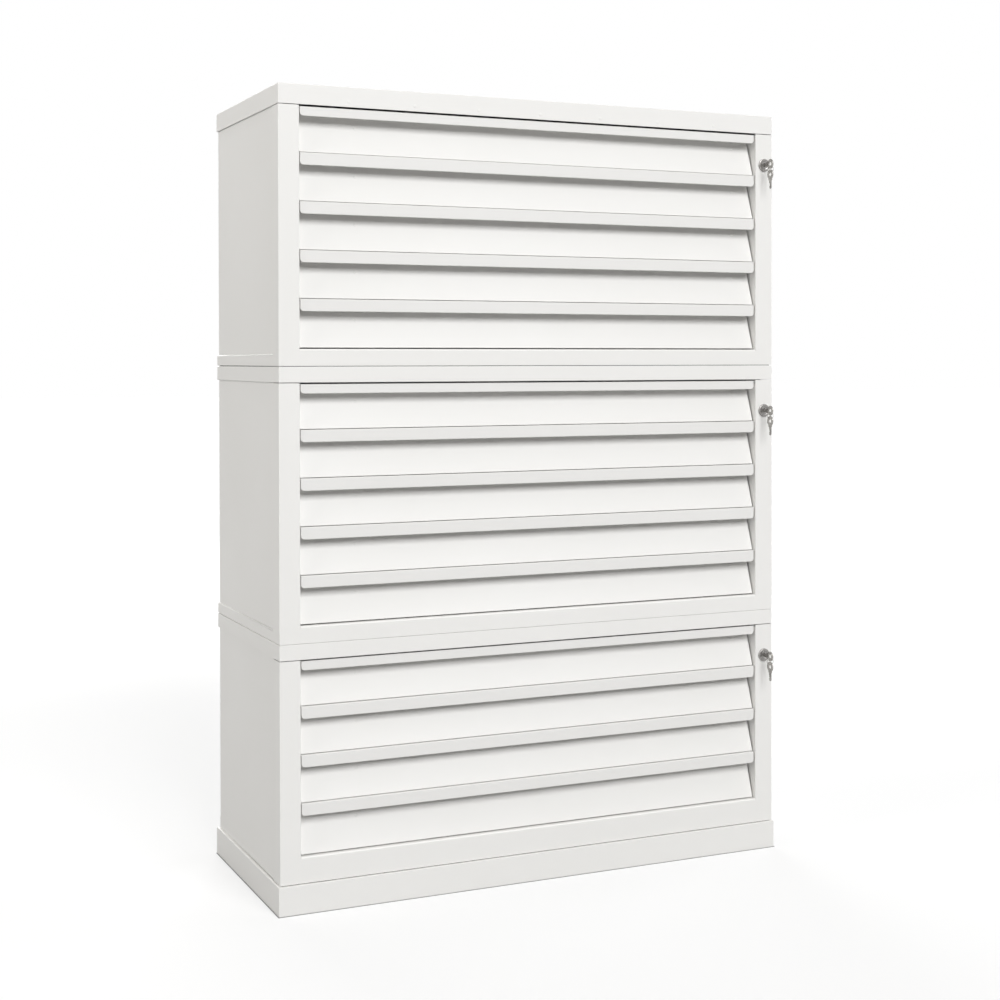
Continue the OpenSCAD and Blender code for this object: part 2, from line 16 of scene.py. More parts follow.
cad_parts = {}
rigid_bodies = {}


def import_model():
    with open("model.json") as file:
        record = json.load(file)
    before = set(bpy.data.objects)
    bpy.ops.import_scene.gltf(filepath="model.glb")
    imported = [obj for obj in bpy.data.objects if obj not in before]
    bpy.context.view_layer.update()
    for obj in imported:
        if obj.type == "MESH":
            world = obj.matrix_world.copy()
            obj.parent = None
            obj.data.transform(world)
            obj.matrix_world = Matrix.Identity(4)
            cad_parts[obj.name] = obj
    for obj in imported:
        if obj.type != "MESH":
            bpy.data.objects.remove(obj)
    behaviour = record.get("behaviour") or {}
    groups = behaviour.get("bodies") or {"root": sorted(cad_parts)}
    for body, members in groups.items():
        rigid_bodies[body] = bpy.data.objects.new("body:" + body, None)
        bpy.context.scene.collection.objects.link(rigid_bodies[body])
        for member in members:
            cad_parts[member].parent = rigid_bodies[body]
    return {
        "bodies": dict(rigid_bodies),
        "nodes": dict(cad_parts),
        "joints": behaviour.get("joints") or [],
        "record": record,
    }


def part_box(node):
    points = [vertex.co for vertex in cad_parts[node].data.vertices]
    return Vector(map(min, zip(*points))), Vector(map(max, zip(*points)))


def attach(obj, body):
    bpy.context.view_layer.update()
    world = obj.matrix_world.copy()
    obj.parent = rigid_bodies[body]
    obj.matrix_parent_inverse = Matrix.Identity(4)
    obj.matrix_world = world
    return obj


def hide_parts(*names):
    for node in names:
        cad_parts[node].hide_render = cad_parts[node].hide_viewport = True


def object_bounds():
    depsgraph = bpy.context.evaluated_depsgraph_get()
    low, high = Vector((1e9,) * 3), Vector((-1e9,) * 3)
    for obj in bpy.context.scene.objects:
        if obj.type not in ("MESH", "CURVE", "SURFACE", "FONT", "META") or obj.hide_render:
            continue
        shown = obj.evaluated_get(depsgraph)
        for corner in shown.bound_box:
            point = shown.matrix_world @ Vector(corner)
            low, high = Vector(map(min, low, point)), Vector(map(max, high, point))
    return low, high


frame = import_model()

MM = 0.001
cad_box = [list(corner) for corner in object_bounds()]
bodies = frame["record"]["behaviour"]["bodies"]
body_of = {node: body for body, nodes in bodies.items() for node in nodes}
joint_of = {joint["name"]: joint for joint in frame["joints"]}
PLACES = ["upper", "middle", "lower"]
DRAWERS = [body for body in frame["bodies"] if body.startswith("drawer_")]
print("frame:", len(frame["nodes"]), "nodes,", len(DRAWERS), "drawers, box", cad_box)

# %% [markdown]
# ## The camera comes first
# A product picture is taken from one spot, so the camera is settled before anything is dressed. It
# could be found by trial, but a handful of corners read from the photograph fixes it: the vertical
# edges stay upright, so it looks almost level and the lens is shifted instead of tilted.

# %% Image points, in the 1000 x 1000 photograph
IMAGE = 1000
POINTS = {
    "object_left_x": 216.6,
    "object_right_x": 775.6,
    "object_top_y": 81.3,
    "object_bottom_y": 918.0,
    "cap_front_left": (278.9, 81.3),
    "cap_rear_left": (217.6, 117.2),
    "cap_front_right": (772.0, 114.9),
    "upper_seam_front_left": (278.9, 367.0),
    "lower_seam_front_left": (279.2, 646.5),
    "plinth_foot_front_left": (279.3, 918.0),
    "plinth_foot_front_right": (772.8, 846.1),
    "plinth_foot_rear_left": (216.6, 852.3),
    "upper_lock": (765.4, 163.5),
    "middle_lock": (765.0, 411.1),
    "lower_lock": (765.0, 655.8),
    "face_mark_left": (354.5, 129.0),
    "face_mark_right": (731.0, 149.0),
    "cap_mark_first": (349.0, 102.0),
    "cap_mark_second": (415.0, 106.0),
}

# %% The camera
LENS = 59.784  # mm, on a 36 mm wide sensor
SENSOR = 36.0
EYE = Vector((-1.2973, -2.8831, 0.9336))  # metres
YAW, PITCH, ROLL = 24.356, -0.653, -0.084  # degrees: to the right of +Y, upwards, clockwise
SHIFT_X, SHIFT_Y = 0.0, -0.1202

camera_data = bpy.data.cameras.new("camera")
camera = bpy.data.objects.new("camera", camera_data)
bpy.context.scene.collection.objects.link(camera)
camera_data.sensor_fit = "AUTO"
camera_data.sensor_width = SENSOR
camera_data.lens = LENS
camera_data.shift_x = SHIFT_X
camera_data.shift_y = SHIFT_Y
camera_data.clip_start, camera_data.clip_end = 0.05, 200.0
camera.matrix_world = Matrix.Translation(EYE) @ (
    Matrix.Rotation(-math.radians(YAW), 4, "Z")
    @ Matrix.Rotation(math.radians(90 + PITCH), 4, "X")
    @ Matrix.Rotation(math.radians(ROLL), 4, "Z")
)
bpy.context.scene.camera = camera
print("camera:", LENS, "mm at", tuple(round(v, 3) for v in EYE))

# %% From the image to the object and back
RAY_FROM, RAY_STEP, RAY_STEPS = 2.5, 0.005, 400  # metres along a ray that misses, and how many


def ray_through(point):
    """The direction, in the object's frame, in which an image point is seen."""
    toward = Vector((
        point[0] - IMAGE / 2 + SHIFT_X * IMAGE,
        IMAGE / 2 - point[1] + SHIFT_Y * IMAGE,
        -IMAGE * LENS / SENSOR,
    ))
    return (camera.matrix_world.to_3x3() @ toward).normalized()


def surface_at(point, tree):
    """Where the ray through an image point meets a surface, or the surface's place nearest it."""
    direction = ray_through(point)
    place = tree.ray_cast(EYE, direction)[0]
    if place is not None:
        return place
    along = [EYE + direction * (RAY_FROM + step * RAY_STEP) for step in range(RAY_STEPS)]
    return min((tree.find_nearest(spot) for spot in along), key=lambda near: near[3])[0]


def image_of(place):
    """The image point at which a place on the object shows."""
    seen = camera.matrix_world.inverted() @ place
    scale = IMAGE * LENS / SENSOR / -seen.z
    return (
        IMAGE / 2 + seen.x * scale - SHIFT_X * IMAGE,
        IMAGE / 2 - seen.y * scale + SHIFT_Y * IMAGE,
    )


foot_corner = Vector((cad_box[0][0], cad_box[0][1], 0))
print("foot of the front corner shows at", [round(v, 1) for v in image_of(foot_corner)])

# %% [markdown]
# ## Floor, background and light
# A catalogue picture stands the piece on an endless pale floor under big soft boxes. The background
# could be lit until it burns out, but that would bleach the white paint as well. So the world and
# the floor are plain white only for rays that come straight from the camera or from polished metal,
# and the light that falls on the cabinet stays at a level where a colour renders as it is written.

# %% Nodes with their inputs
def feed(tree, node, inputs):
    """Fills in a node's inputs: a node or a socket is linked, and a value is written down."""
    for label, value in inputs.items():
        if isinstance(value, bpy.types.Node):
            value = value.outputs[0]
        if isinstance(value, bpy.types.NodeSocket):
            tree.links.new(value, node.inputs[label])
        else:
            node.inputs[label].default_value = value


def node_in(tree, kind, at, inputs=None, **settings):
    """A new node placed on the canvas, with its settings and its inputs."""
    node = tree.nodes.new(kind)
    node.location = at
    for key, value in settings.items():
        setattr(node, key, value)
    feed(tree, node, inputs or {})
    return node


def maths(tree, operation, at, first, second):
    """A Math node between two sockets or numbers."""
    return node_in(tree, "ShaderNodeMath", at, {0: first, 1: second}, operation=operation)


print("helpers: feed, node_in, maths")

# %% A white world that lights softly
SKY_LIGHT = 0.25  # what the paint receives from above
HORIZON_SHARE = 0.3  # of that, what comes from near the horizon
LOW_SKY, HIGH_SKY = 0.05, 0.75  # heights in the sky, of 1, between which its light grows
SKY_TONE, PLAIN_WHITE = (1.0, 0.995, 0.985, 1), (1, 1, 1, 1)

world = bpy.data.worlds.new("studio")
bpy.context.scene.world = world
world.use_nodes = True
sky = world.node_tree
sky.nodes.clear()
upwards = node_in(sky, "ShaderNodeSeparateXYZ", (-700, 350), {
    0: node_in(sky, "ShaderNodeTexCoord", (-900, 350)).outputs["Generated"]}).outputs["Z"]
strength = node_in(sky, "ShaderNodeMapRange", (-450, 350), {
    "Value": upwards, "From Min": LOW_SKY, "From Max": HIGH_SKY,
    "To Min": SKY_LIGHT * HORIZON_SHARE, "To Max": SKY_LIGHT}, interpolation_type="SMOOTHSTEP")
path = node_in(sky, "ShaderNodeLightPath", (-600, 0)).outputs
seen_or_mirrored = maths(sky, "MAXIMUM", (-400, 0), path["Is Camera Ray"], path["Is Glossy Ray"])
seen_by_any = maths(sky, "MAXIMUM", (-200, 0), seen_or_mirrored, path["Is Transmission Ray"])
soft = node_in(sky, "ShaderNodeBackground", (-200, 200), {"Color": SKY_TONE, "Strength": strength})
plain = node_in(sky, "ShaderNodeBackground", (-200, -200), {"Color": PLAIN_WHITE, "Strength": 1.0})
mixed = node_in(sky, "ShaderNodeMixShader", (0, 0), {"Fac": seen_by_any, 1: soft, 2: plain})
node_in(sky, "ShaderNodeOutputWorld", (200, 0), {"Surface": mixed})
print("world:", world.name, "with", len(sky.nodes), "nodes")

# %% An object from a finished bmesh
def object_from(bm, name):
    """A new object at the origin, made from a bmesh that is no longer needed."""
    mesh = bpy.data.meshes.new(name)
    bm.to_mesh(mesh)
    bm.free()
    made = bpy.data.objects.new(name, mesh)
    bpy.context.scene.collection.objects.link(made)
    return made


print("helper: object_from")

# %% The floor's paint, which keeps the shadow and paints a shade line round the foot
FLOOR_BOUNCE = 0.38  # how much light the floor gives back to the cabinet
GLOW_NEAR, GLOW_FAR = 0.58, 0.96  # lift the floor to white for the camera; the shadow stays
GLOW_FROM, GLOW_TO = 2.2, 8.0  # metres from the cabinet, between which the lift grows
CONTACT_SHADE = 2.0 * MM  # painted contact shade: round the foot the lift stops, so a dark line shows where the cabinet meets the floor


def floor_paint():
    """A matt floor that the camera and polished metal see lifted to white, except in a thin band
    round the foot, which is painted contact shade.
    """
    material = bpy.data.materials.new("pale_floor")
    material.use_nodes = True
    tree = material.node_tree
    tree.nodes.clear()
    spot = node_in(tree, "ShaderNodeTexCoord", (-1000, -250)).outputs["Object"]
    away = node_in(tree, "ShaderNodeVectorMath", (-800, -250), {0: spot}, operation="LENGTH")
    rise = node_in(tree, "ShaderNodeMapRange", (-600, -250), {
        "Value": away.outputs["Value"], "From Min": GLOW_FROM, "From Max": GLOW_TO,
        "To Min": GLOW_NEAR, "To Max": GLOW_FAR}, interpolation_type="SMOOTHSTEP")
    beside = node_in(tree, "ShaderNodeVectorMath", (-1000, -550), {0: spot}, operation="ABSOLUTE")
    past = node_in(tree, "ShaderNodeVectorMath", (-800, -550),
                   {0: beside, 1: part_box("plinth")[1]}, operation="SUBTRACT")
    axes = node_in(tree, "ShaderNodeSeparateXYZ", (-600, -550), {0: past}).outputs
    outside = maths(tree, "MAXIMUM", (-400, -550), axes["X"], axes["Y"])
    # painted contact shade: the lift fades out within a couple of millimetres of the plinth,
    # leaving a dark line round the foot
    clear = node_in(tree, "ShaderNodeMapRange", (-200, -550),
                    {"Value": outside, "From Min": CONTACT_SHADE * 0.5, "From Max": CONTACT_SHADE})
    path = node_in(tree, "ShaderNodeLightPath", (-600, 0)).outputs
    looked_at = maths(tree, "MAXIMUM", (-400, 0), path["Is Camera Ray"], path["Is Glossy Ray"])
    lifted = maths(tree, "MULTIPLY", (0, -400), clear, rise)
    lift = maths(tree, "MULTIPLY", (-200, -100), looked_at, lifted)
    grey = (FLOOR_BOUNCE, FLOOR_BOUNCE, FLOOR_BOUNCE, 1)
    matt = node_in(tree, "ShaderNodeBsdfDiffuse", (-200, 200), {"Color": grey})
    glow = node_in(tree, "ShaderNodeEmission", (0, -100), {"Color": PLAIN_WHITE, "Strength": lift})
    both = node_in(tree, "ShaderNodeAddShader", (200, 0), {0: matt, 1: glow})
    node_in(tree, "ShaderNodeOutputMaterial", (400, 0), {"Surface": both})
    return material


PALE_FLOOR = floor_paint()
print("floor paint: gives back", FLOOR_BOUNCE, "and glows by", GLOW_NEAR, "to", GLOW_FAR)

# %% A pale floor
FLOOR_HALF = 40.0  # metres
bm = bmesh.new()
bmesh.ops.create_grid(bm, x_segments=8, y_segments=8, size=FLOOR_HALF)
floor = object_from(bm, "floor")
floor.data.materials.append(PALE_FLOOR)
print("floor:", 2 * FLOOR_HALF, "m wide")

# %% Four soft boxes
MIDDLE = Vector((0, 0, 0.7))


def soft_box(name, place, width, watts, colour=(1, 1, 1)):
    """A square area lamp that faces the middle of the cabinet."""
    data = bpy.data.lights.new(name, "AREA")
    data.color = colour
    data.shape = "SQUARE"
    data.size = width
    data.energy = watts
    lamp = bpy.data.objects.new(name, data)
    bpy.context.scene.collection.objects.link(lamp)
    lamp.location = place
    lamp.rotation_euler = (MIDDLE - Vector(place)).to_track_quat("-Z", "Y").to_euler()
    return lamp


lamps = [
    soft_box("front_box", (0.8, -12.0, 8.3), 7.2, 1600),
    soft_box("left_box", (-4.6, -0.4, 3.0), 2.6, 99, (1.0, 0.982, 0.945)),
    soft_box("right_box", (4.6, 0.4, 2.2), 3.0, 80),
    soft_box("rear_box", (0.6, 4.8, 2.8), 3.0, 170),
]
print("lamps:", [(lamp.name, lamp.data.energy) for lamp in lamps])

# %% [markdown]
# ## Finishes
# Powder coat is a plastic film baked on steel. It could be one flat white, but then it looks like
# paper. What gives it away is a fine orange-peel surface that breaks up reflections, and a tone
# that drifts a little over a large panel. Nearly every finish here needs both, with its own sizes,
# so each is a node group.

# %% A node group with named sockets
def node_group(name, kind, ins, outs):
    """An empty group, its input sockets and its output node.

    ins are (name, kind of socket, value or None) and outs are (name, kind of socket).
    """
    group = bpy.data.node_groups.new(name, kind)
    for label, socket_kind, value in ins:
        socket = group.interface.new_socket(
            name=label, in_out="INPUT", socket_type="NodeSocket" + socket_kind)
        if value is not None:
            socket.default_value = value
    for label, socket_kind in outs:
        group.interface.new_socket(
            name=label, in_out="OUTPUT", socket_type="NodeSocket" + socket_kind)
    enter = node_in(group, "NodeGroupInput", (-900, 0))
    return group, enter.outputs, node_in(group, "NodeGroupOutput", (500, 0))


print("helper: node_group")

# %% Orange peel
FINER = 3.7  # the second, finer wave has so many times as many waves

peel_group, enter, leave = node_group(
    "orange_peel", "ShaderNodeTree",
    [("Place", "Vector", None), ("Waves per Metre", "Float", 600.0), ("Fine Share", "Float", 0.3)],
    [("Height", "Float")],
)
wave = node_in(peel_group, "ShaderNodeTexNoise", (-500, 150), {
    "Vector": enter["Place"], "Scale": enter["Waves per Metre"], "Detail": 1.0})
fine = node_in(peel_group, "ShaderNodeTexNoise", (-500, -150), {
    "Vector": enter["Place"], "Detail": 0.0,
    "Scale": maths(peel_group, "MULTIPLY", (-700, -150), enter["Waves per Metre"], FINER)})
fine_part = maths(peel_group, "MULTIPLY", (-200, -150), fine, enter["Fine Share"])
feed(peel_group, leave, {"Height": maths(peel_group, "ADD", (100, 0), wave, fine_part)})
print("group:", peel_group.name, "with", len(peel_group.nodes), "nodes")

# %% A tone and a gloss that drift
tone_group, enter, leave = node_group(
    "drifting_tone", "ShaderNodeTree",
    [("Place", "Vector", None), ("Patches per Metre", "Float", 3.0),
     ("Light Tone", "Color", (1, 1, 1, 1)), ("Dark Tone", "Color", (0.9, 0.9, 0.9, 1)),
     ("Smooth", "Float", 0.4), ("Rough", "Float", 0.5)],
    [("Color", "Color"), ("Roughness", "Float")],
)
patch = node_in(tone_group, "ShaderNodeTexNoise", (-600, 0), {
    "Vector": enter["Place"], "Scale": enter["Patches per Metre"],
    "Detail": 4.0, "Roughness": 0.55})
spread = node_in(tone_group, "ShaderNodeMapRange", (-350, 0), {
    "Value": patch, "From Min": 0.3, "From Max": 0.7})
tone = node_in(tone_group, "ShaderNodeMix", (0, 100), {
    0: spread, 6: enter["Light Tone"], 7: enter["Dark Tone"]}, data_type="RGBA")
gloss = node_in(tone_group, "ShaderNodeMix", (0, -150), {
    0: spread, 2: enter["Smooth"], 3: enter["Rough"]}, data_type="FLOAT")
feed(tone_group, leave, {"Color": tone.outputs[2], "Roughness": gloss})
print("group:", tone_group.name, "with", len(tone_group.nodes), "nodes")

# %% One way to build every finish
def grain(waves, fine_share):
    """A relief of soft waves, so many to a metre, with a share of finer ones."""
    def relief(tree, place):
        return node_in(tree, "ShaderNodeGroup", (-700, -300), {
            "Place": place, "Waves per Metre": waves, "Fine Share": fine_share},
            node_tree=peel_group)
    return relief


def finish(name, light, dark, patches, smooth, rough, relief, depth, **levels):
    """A material whose tone and gloss drift, in so many patches to a metre, over a relief.

    smooth and rough are the ends of its roughness, depth is the relief's in metres, and levels
    are values on the shader's own sockets.
    """
    material = bpy.data.materials.new(name)
    material.use_nodes = True
    tree = material.node_tree
    place = node_in(tree, "ShaderNodeTexCoord", (-1100, 0)).outputs["Object"]
    drift = node_in(tree, "ShaderNodeGroup", (-700, 200), {
        "Place": place, "Patches per Metre": patches, "Light Tone": (*light, 1),
        "Dark Tone": (*dark, 1), "Smooth": smooth, "Rough": rough}, node_tree=tone_group)
    bump = node_in(tree, "ShaderNodeBump", (-250, -300), {
        "Strength": 1.0, "Distance": depth, "Height": relief(tree, place)})
    feed(tree, tree.nodes["Principled BSDF"], {
        "Base Color": drift.outputs["Color"], "Roughness": drift.outputs["Roughness"],
        "Normal": bump, **{label.replace("_", " "): value for label, value in levels.items()}})
    return material


print("helpers: grain, finish")

# %% Powder coat, on the carcass and on the drawers
# Painted shade: the drawers' coat is the carcass's white made a little darker. Their slanted faces
# lean back towards the lamps and would otherwise render brighter than the posts.
COAT = {"patches": 2.6, "relief": grain(520.0, 0.25), "depth": 0.03 * MM,
        "Specular_IOR_Level": 0.4}
CABINET_COAT = finish("white_powder_coat", (0.875, 0.868, 0.849), (0.858, 0.851, 0.830),
                      smooth=0.44, rough=0.51, **COAT)
# painted shade: the same white as the carcass, a little darker on every drawer
SHADED_DRAWER_COAT = finish("white_drawer_coat", (0.839, 0.833, 0.817), (0.823, 0.817, 0.798),
                     smooth=0.47, rough=0.54, **COAT)
print("coats:", CABINET_COAT.name, SHADED_DRAWER_COAT.name)

# %% [markdown]
# ## Metal and nylon
# The runners and the lock bars are zinc-plated: dull silver with faint spangle and drawing lines.
# The locks and keys are nickel, turned or stamped and then tumbled, so they carry fine rings or
# scratches that catch the light. The guides are black nylon with a moulded grain. Scratches could
# be modelled, but they are far finer than a pixel, so they are a relief in the material.

# %% Zinc, nickel and nylon
RINGS_TURN = 9000.0  # the rings' phase, in radians for each metre from the lock's axis


def lathe_rings(tree, place):
    """The rings that a lathe leaves: they follow the distance from the lock's axis."""
    axis = node_in(tree, "ShaderNodeAttribute", (-900, -350), attribute_name="from_axis")
    phase = maths(tree, "MULTIPLY", (-650, -350), axis.outputs["Fac"], RINGS_TURN)
    return node_in(tree, "ShaderNodeMath", (-450, -350), {0: phase}, operation="SINE")


ZINC = finish("zinc_plated_steel", (0.70, 0.71, 0.72), (0.56, 0.57, 0.59), patches=55.0,
              smooth=0.30, rough=0.46, relief=grain(1400.0, 0.5), depth=0.008 * MM, Metallic=1.0)
NICKEL = finish("nickel_plate", (0.46, 0.45, 0.43), (0.30, 0.29, 0.28), patches=260.0,
                smooth=0.20, rough=0.34, relief=grain(2600.0, 0.6), depth=0.006 * MM, Metallic=1.0)
TURNED = finish("turned_nickel", (0.38, 0.37, 0.36), (0.26, 0.25, 0.24), patches=180.0,
                smooth=0.22, rough=0.34, relief=lathe_rings, depth=0.006 * MM, Metallic=1.0)
NYLON = finish("black_nylon", (0.055, 0.055, 0.060), (0.040, 0.040, 0.044), patches=90.0,
               smooth=0.42, rough=0.56, relief=grain(1800.0, 0.4), depth=0.02 * MM)
print("materials:", [material.name for material in bpy.data.materials])

# %% [markdown]
# ## Folded sheet
# Every panel is steel about a millimetre thick, folded in a press brake, so its outer folds are
# round, its cut edges only lose their burr, and a hem is round over its whole thickness. A bevel of
# one width would get two of the three wrong. So each edge is asked how much steel lies behind it: a
# short ray inside the sheet tells a fold from a cut edge, and the answer becomes its bevel weight.

# %% How much steel lies behind an edge
MERGE = 0.002 * MM
INSIDE = 0.02 * MM


def merged_copy(node):
    """A CAD node's solids as a bmesh, their loose triangles joined."""
    bm = bmesh.new()
    bm.from_mesh(frame["nodes"][node].data)
    bmesh.ops.remove_doubles(bm, verts=bm.verts, dist=MERGE)
    return bm


def steel_behind(edge, tree):
    """The least thickness of steel, seen from an outer edge along both of its faces."""
    a, b = (face.normal.copy() for face in edge.link_faces)
    along_a = (-b - a * (-b).dot(a)).normalized()
    along_b = (-a - b * (-a).dot(b)).normalized()
    start, end = (vertex.co for vertex in edge.verts)
    least = 1.0
    for share in (0.2, 0.5, 0.8):
        inner = start.lerp(end, share) + (along_a + along_b) * INSIDE
        for direction in (along_a, along_b):
            distance = tree.ray_cast(inner, direction)[3]
            if distance is not None:
                least = min(least, distance)
    return least


print("helpers: merged_copy, steel_behind")

# %% Smooth shading
def soften(piece, angle):
    """Smooth shading, with sharp corners above an angle in degrees."""
    mesh = piece.data
    mesh.polygons.foreach_set("use_smooth", [True] * len(mesh.polygons))
    mesh.set_sharp_from_angle(angle=math.radians(angle))
    return piece


print("helper: soften")

# %% A copy with folds and cut edges
FOLD_R = 1.5 * MM
CUT_EDGE = 1.7 * MM  # thinner steel than this behind an edge means that it was cut
CUT_SHARE, HEM_SHARE = 0.25, 0.43  # the radius of a cut edge and of a hem, of the steel behind it
ONE_FACE, OUTER_EDGE = math.radians(0.4), math.radians(40)
SHEET_SHARP = 30  # degrees


def rounded_copy(node, name, fold=FOLD_R, segments=3, keep=None, reshape=None, own_radius=None):
    """A copy of a CAD node, merged to whole faces, with a bevel that knows folds from cut edges.

    keep picks the corners that stay, reshape moves them, and own_radius names an edge's radius.
    """
    bm = merged_copy(node)
    if keep is not None:
        bmesh.ops.delete(bm, geom=[v for v in bm.verts if not keep(v.co)], context="VERTS")
    if reshape is not None:
        reshape(bm.verts)
    tree = BVHTree.FromBMesh(bm)
    bmesh.ops.dissolve_limit(bm, angle_limit=ONE_FACE, verts=bm.verts, edges=bm.edges)
    weight = bm.edges.layers.float.new("bevel_weight_edge")
    radii = {}
    for edge in bm.edges:
        if len(edge.link_faces) != 2 or edge.calc_face_angle_signed() < OUTER_EDGE:
            continue
        radius = own_radius(edge) if own_radius is not None else None
        if radius is None:
            steel = steel_behind(edge, tree)
            radius = min(fold, (CUT_SHARE if steel < CUT_EDGE else HEM_SHARE) * steel)
        radii[edge] = radius
    widest = max(radii.values())
    for edge, radius in radii.items():
        edge[weight] = radius / widest
    piece = soften(object_from(bm, name), SHEET_SHARP)
    bevel = piece.modifiers.new("rounded_edges", "BEVEL")
    bevel.limit_method = "WEIGHT"
    bevel.width = widest
    bevel.segments = segments
    bevel.use_clamp_overlap = False
    bevel.harden_normals = True
    return piece


print("helper: rounded_copy")


def place_piece(piece, body, material, *nodes):
    """Gives a finished piece its finish, its body and the nodes that it stands for."""
    piece.data.materials.clear()
    piece.data.materials.append(material)
    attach(piece, body)
    if nodes:
        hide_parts(*nodes)
    return piece


def dress(node, name, material, **edges):
    """Puts a rounded copy in a CAD node's place, on the node's own body."""
    return place_piece(rounded_copy(node, name, **edges), body_of[node], material, node)


print("helpers: place_piece, dress")

# %% [markdown]
# ## The carcass and its seams
# The modules are stacked and bolted, so a dark shadow line runs round the cabinet wherever one
# sheet ends above another. The exact solids touch there, which would render as a white crease. The
# line could be painted on, but a real gap gives it in every light: the lower skin of each pan and
# the lower edge of each cap are lifted by 0.35 to 1.7 mm, and the posts are brought down to the
# rails, where the real joint is filled with paint.

# %% Where the sheets part
PAN_GAP = {  # each gap in front and at the rear
    "upper": (1.0 * MM, 1.6 * MM),
    "middle": (0.35 * MM, 0.9 * MM),
    "lower": (1.7 * MM, 0.4 * MM),
}
CAP_GAP = (0.7 * MM, 1.7 * MM)
SHEET = 1.2 * MM
NEAR = 0.02 * MM
half_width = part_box("upper_cap")[1].x
face_y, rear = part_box("upper_cap")[0].y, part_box("upper_cap")[1].y
panel_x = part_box("upper_back")[1].x + SHEET  # the side panels' outer skin


def at_the_side(v):
    """Whether a corner lies in the outermost plane at either side."""
    return abs(v.co.x) > half_width - NEAR


def gap_at(gap, y):
    """How wide a gap is at this depth, from its widths in front and at the rear."""
    return gap[0] + (gap[1] - gap[0]) * (y - face_y) / (rear - face_y)


def lift_lowest(gap):
    """Moves the lowest corners of a sheet up by the width of a gap."""
    def reshape(corners):
        low = min(v.co.z for v in corners)
        for v in corners:
            if v.co.z < low + NEAR:
                v.co.z += gap_at(gap, v.co.y)
    return reshape


print("gaps under the caps:", CAP_GAP, "and under the pans:", PAN_GAP)

# %% Upstands that slope to the panels
RAIL_REACH = 30 * MM  # a pan's upstands begin further back than this
SET_BACK = 0.8 * MM  # the side panels' outer skin stands a little deeper behind the bands
SLOPE = 3.0 * MM  # from the panel down to the outer edge of the upstand in front of it


def pan_reshape(place):
    """Opens the shadow gap under a pan, and slopes its upstands to the panels behind them."""
    lift = lift_lowest(PAN_GAP[place])

    def reshape(corners):
        lift(corners)
        if place == "lower":
            return
        top = max(v.co.z for v in corners if v.co.y > rear - NEAR)
        upstand = [v for v in corners
                   if abs(v.co.z - top) < NEAR and v.co.y > face_y + RAIL_REACH]
        inner = max(abs(v.co.x) for v in upstand if abs(v.co.x) < half_width - NEAR)
        deep = max(v.co.y for v in upstand if v.co.y < rear - NEAR)
        for v in upstand:
            if at_the_side(v) or v.co.y > rear - NEAR:
                v.co.z -= SLOPE
                continue
            if abs(abs(v.co.x) - inner) < NEAR:
                v.co.x = math.copysign(panel_x - SET_BACK + NEAR, v.co.x)
            if abs(v.co.y - deep) < NEAR:
                v.co.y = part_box(f"{place}_back")[1].y + SHEET + NEAR
    return reshape


print("upstands slope by", SLOPE / MM, "mm")

# %% Posts and side panels
POST_GAP, POST_JOINT = 0.4 * MM, 0.05 * MM  # between a post and its rail: as cut, and painted over
POST_REACH = 40 * MM  # a little more than a post's width
JOINT_REACH = 0.5 * MM


def side_reshape(corners):
    """Brings a post down to its rail, and sets the panel's outer skin back."""
    foot = min(v.co.z for v in corners if at_the_side(v))
    for v in corners:
        if abs(v.co.z - foot) < NEAR:
            v.co.z -= POST_GAP - POST_JOINT
        if abs(abs(v.co.x) - panel_x) < NEAR:
            v.co.x -= math.copysign(SET_BACK, v.co.x)


def sharp_at_the_joint(place):
    """Keeps the edges sharp where a post stands on its rail."""
    corners = frame["nodes"][f"{place}_left_side"].data.vertices
    height = min(v.co.z for v in corners if at_the_side(v))

    def own_radius(edge):
        joined = all(abs(v.co.z - height) < JOINT_REACH
                     and abs(v.co.x) > half_width - POST_REACH for v in edge.verts)
        return 0.0 if joined else None
    return own_radius


print("posts come down by", round((POST_GAP - POST_JOINT) / MM, 2), "mm, panels go back by",
      round(SET_BACK / MM, 2), "mm")

# %% The carcass
reshapes = {"plinth": None}
for place in PLACES:
    reshapes.update({
        f"{place}_cap": lift_lowest(CAP_GAP),
        f"{place}_pan": pan_reshape(place),
        f"{place}_left_side": side_reshape,
        f"{place}_right_side": side_reshape,
        f"{place}_back": None,
    })
pieces = {}
for node, reshape in reshapes.items():
    joint = sharp_at_the_joint(node.split("_")[0]) if node.endswith(("pan", "side")) else None
    pieces[node] = dress(node, f"{node}_sheet", CABINET_COAT, reshape=reshape, own_radius=joint)
print("carcass:", len(reshapes), "sheets,",
      sum(len(pieces[node].data.polygons) for node in reshapes), "faces before the bevel")

# %% [markdown]
# ## Black tape in the seams, as painted shade
# A ring of thin black tape lies between each pan and what it stands on, a few millimetres behind
# the edge. It is a dark sheet put in the seams to paint their shade: it hardly shows, but without
# it one could look through the seams from the side. A line painted on would do for one view, but
# the ring keeps the seams dark from all round.

# %% Seam tape: black tape as painted shade in the seams
SHADE_TAPE_BACK, SHADE_TAPE_WIDTH = 4 * MM, 9 * MM


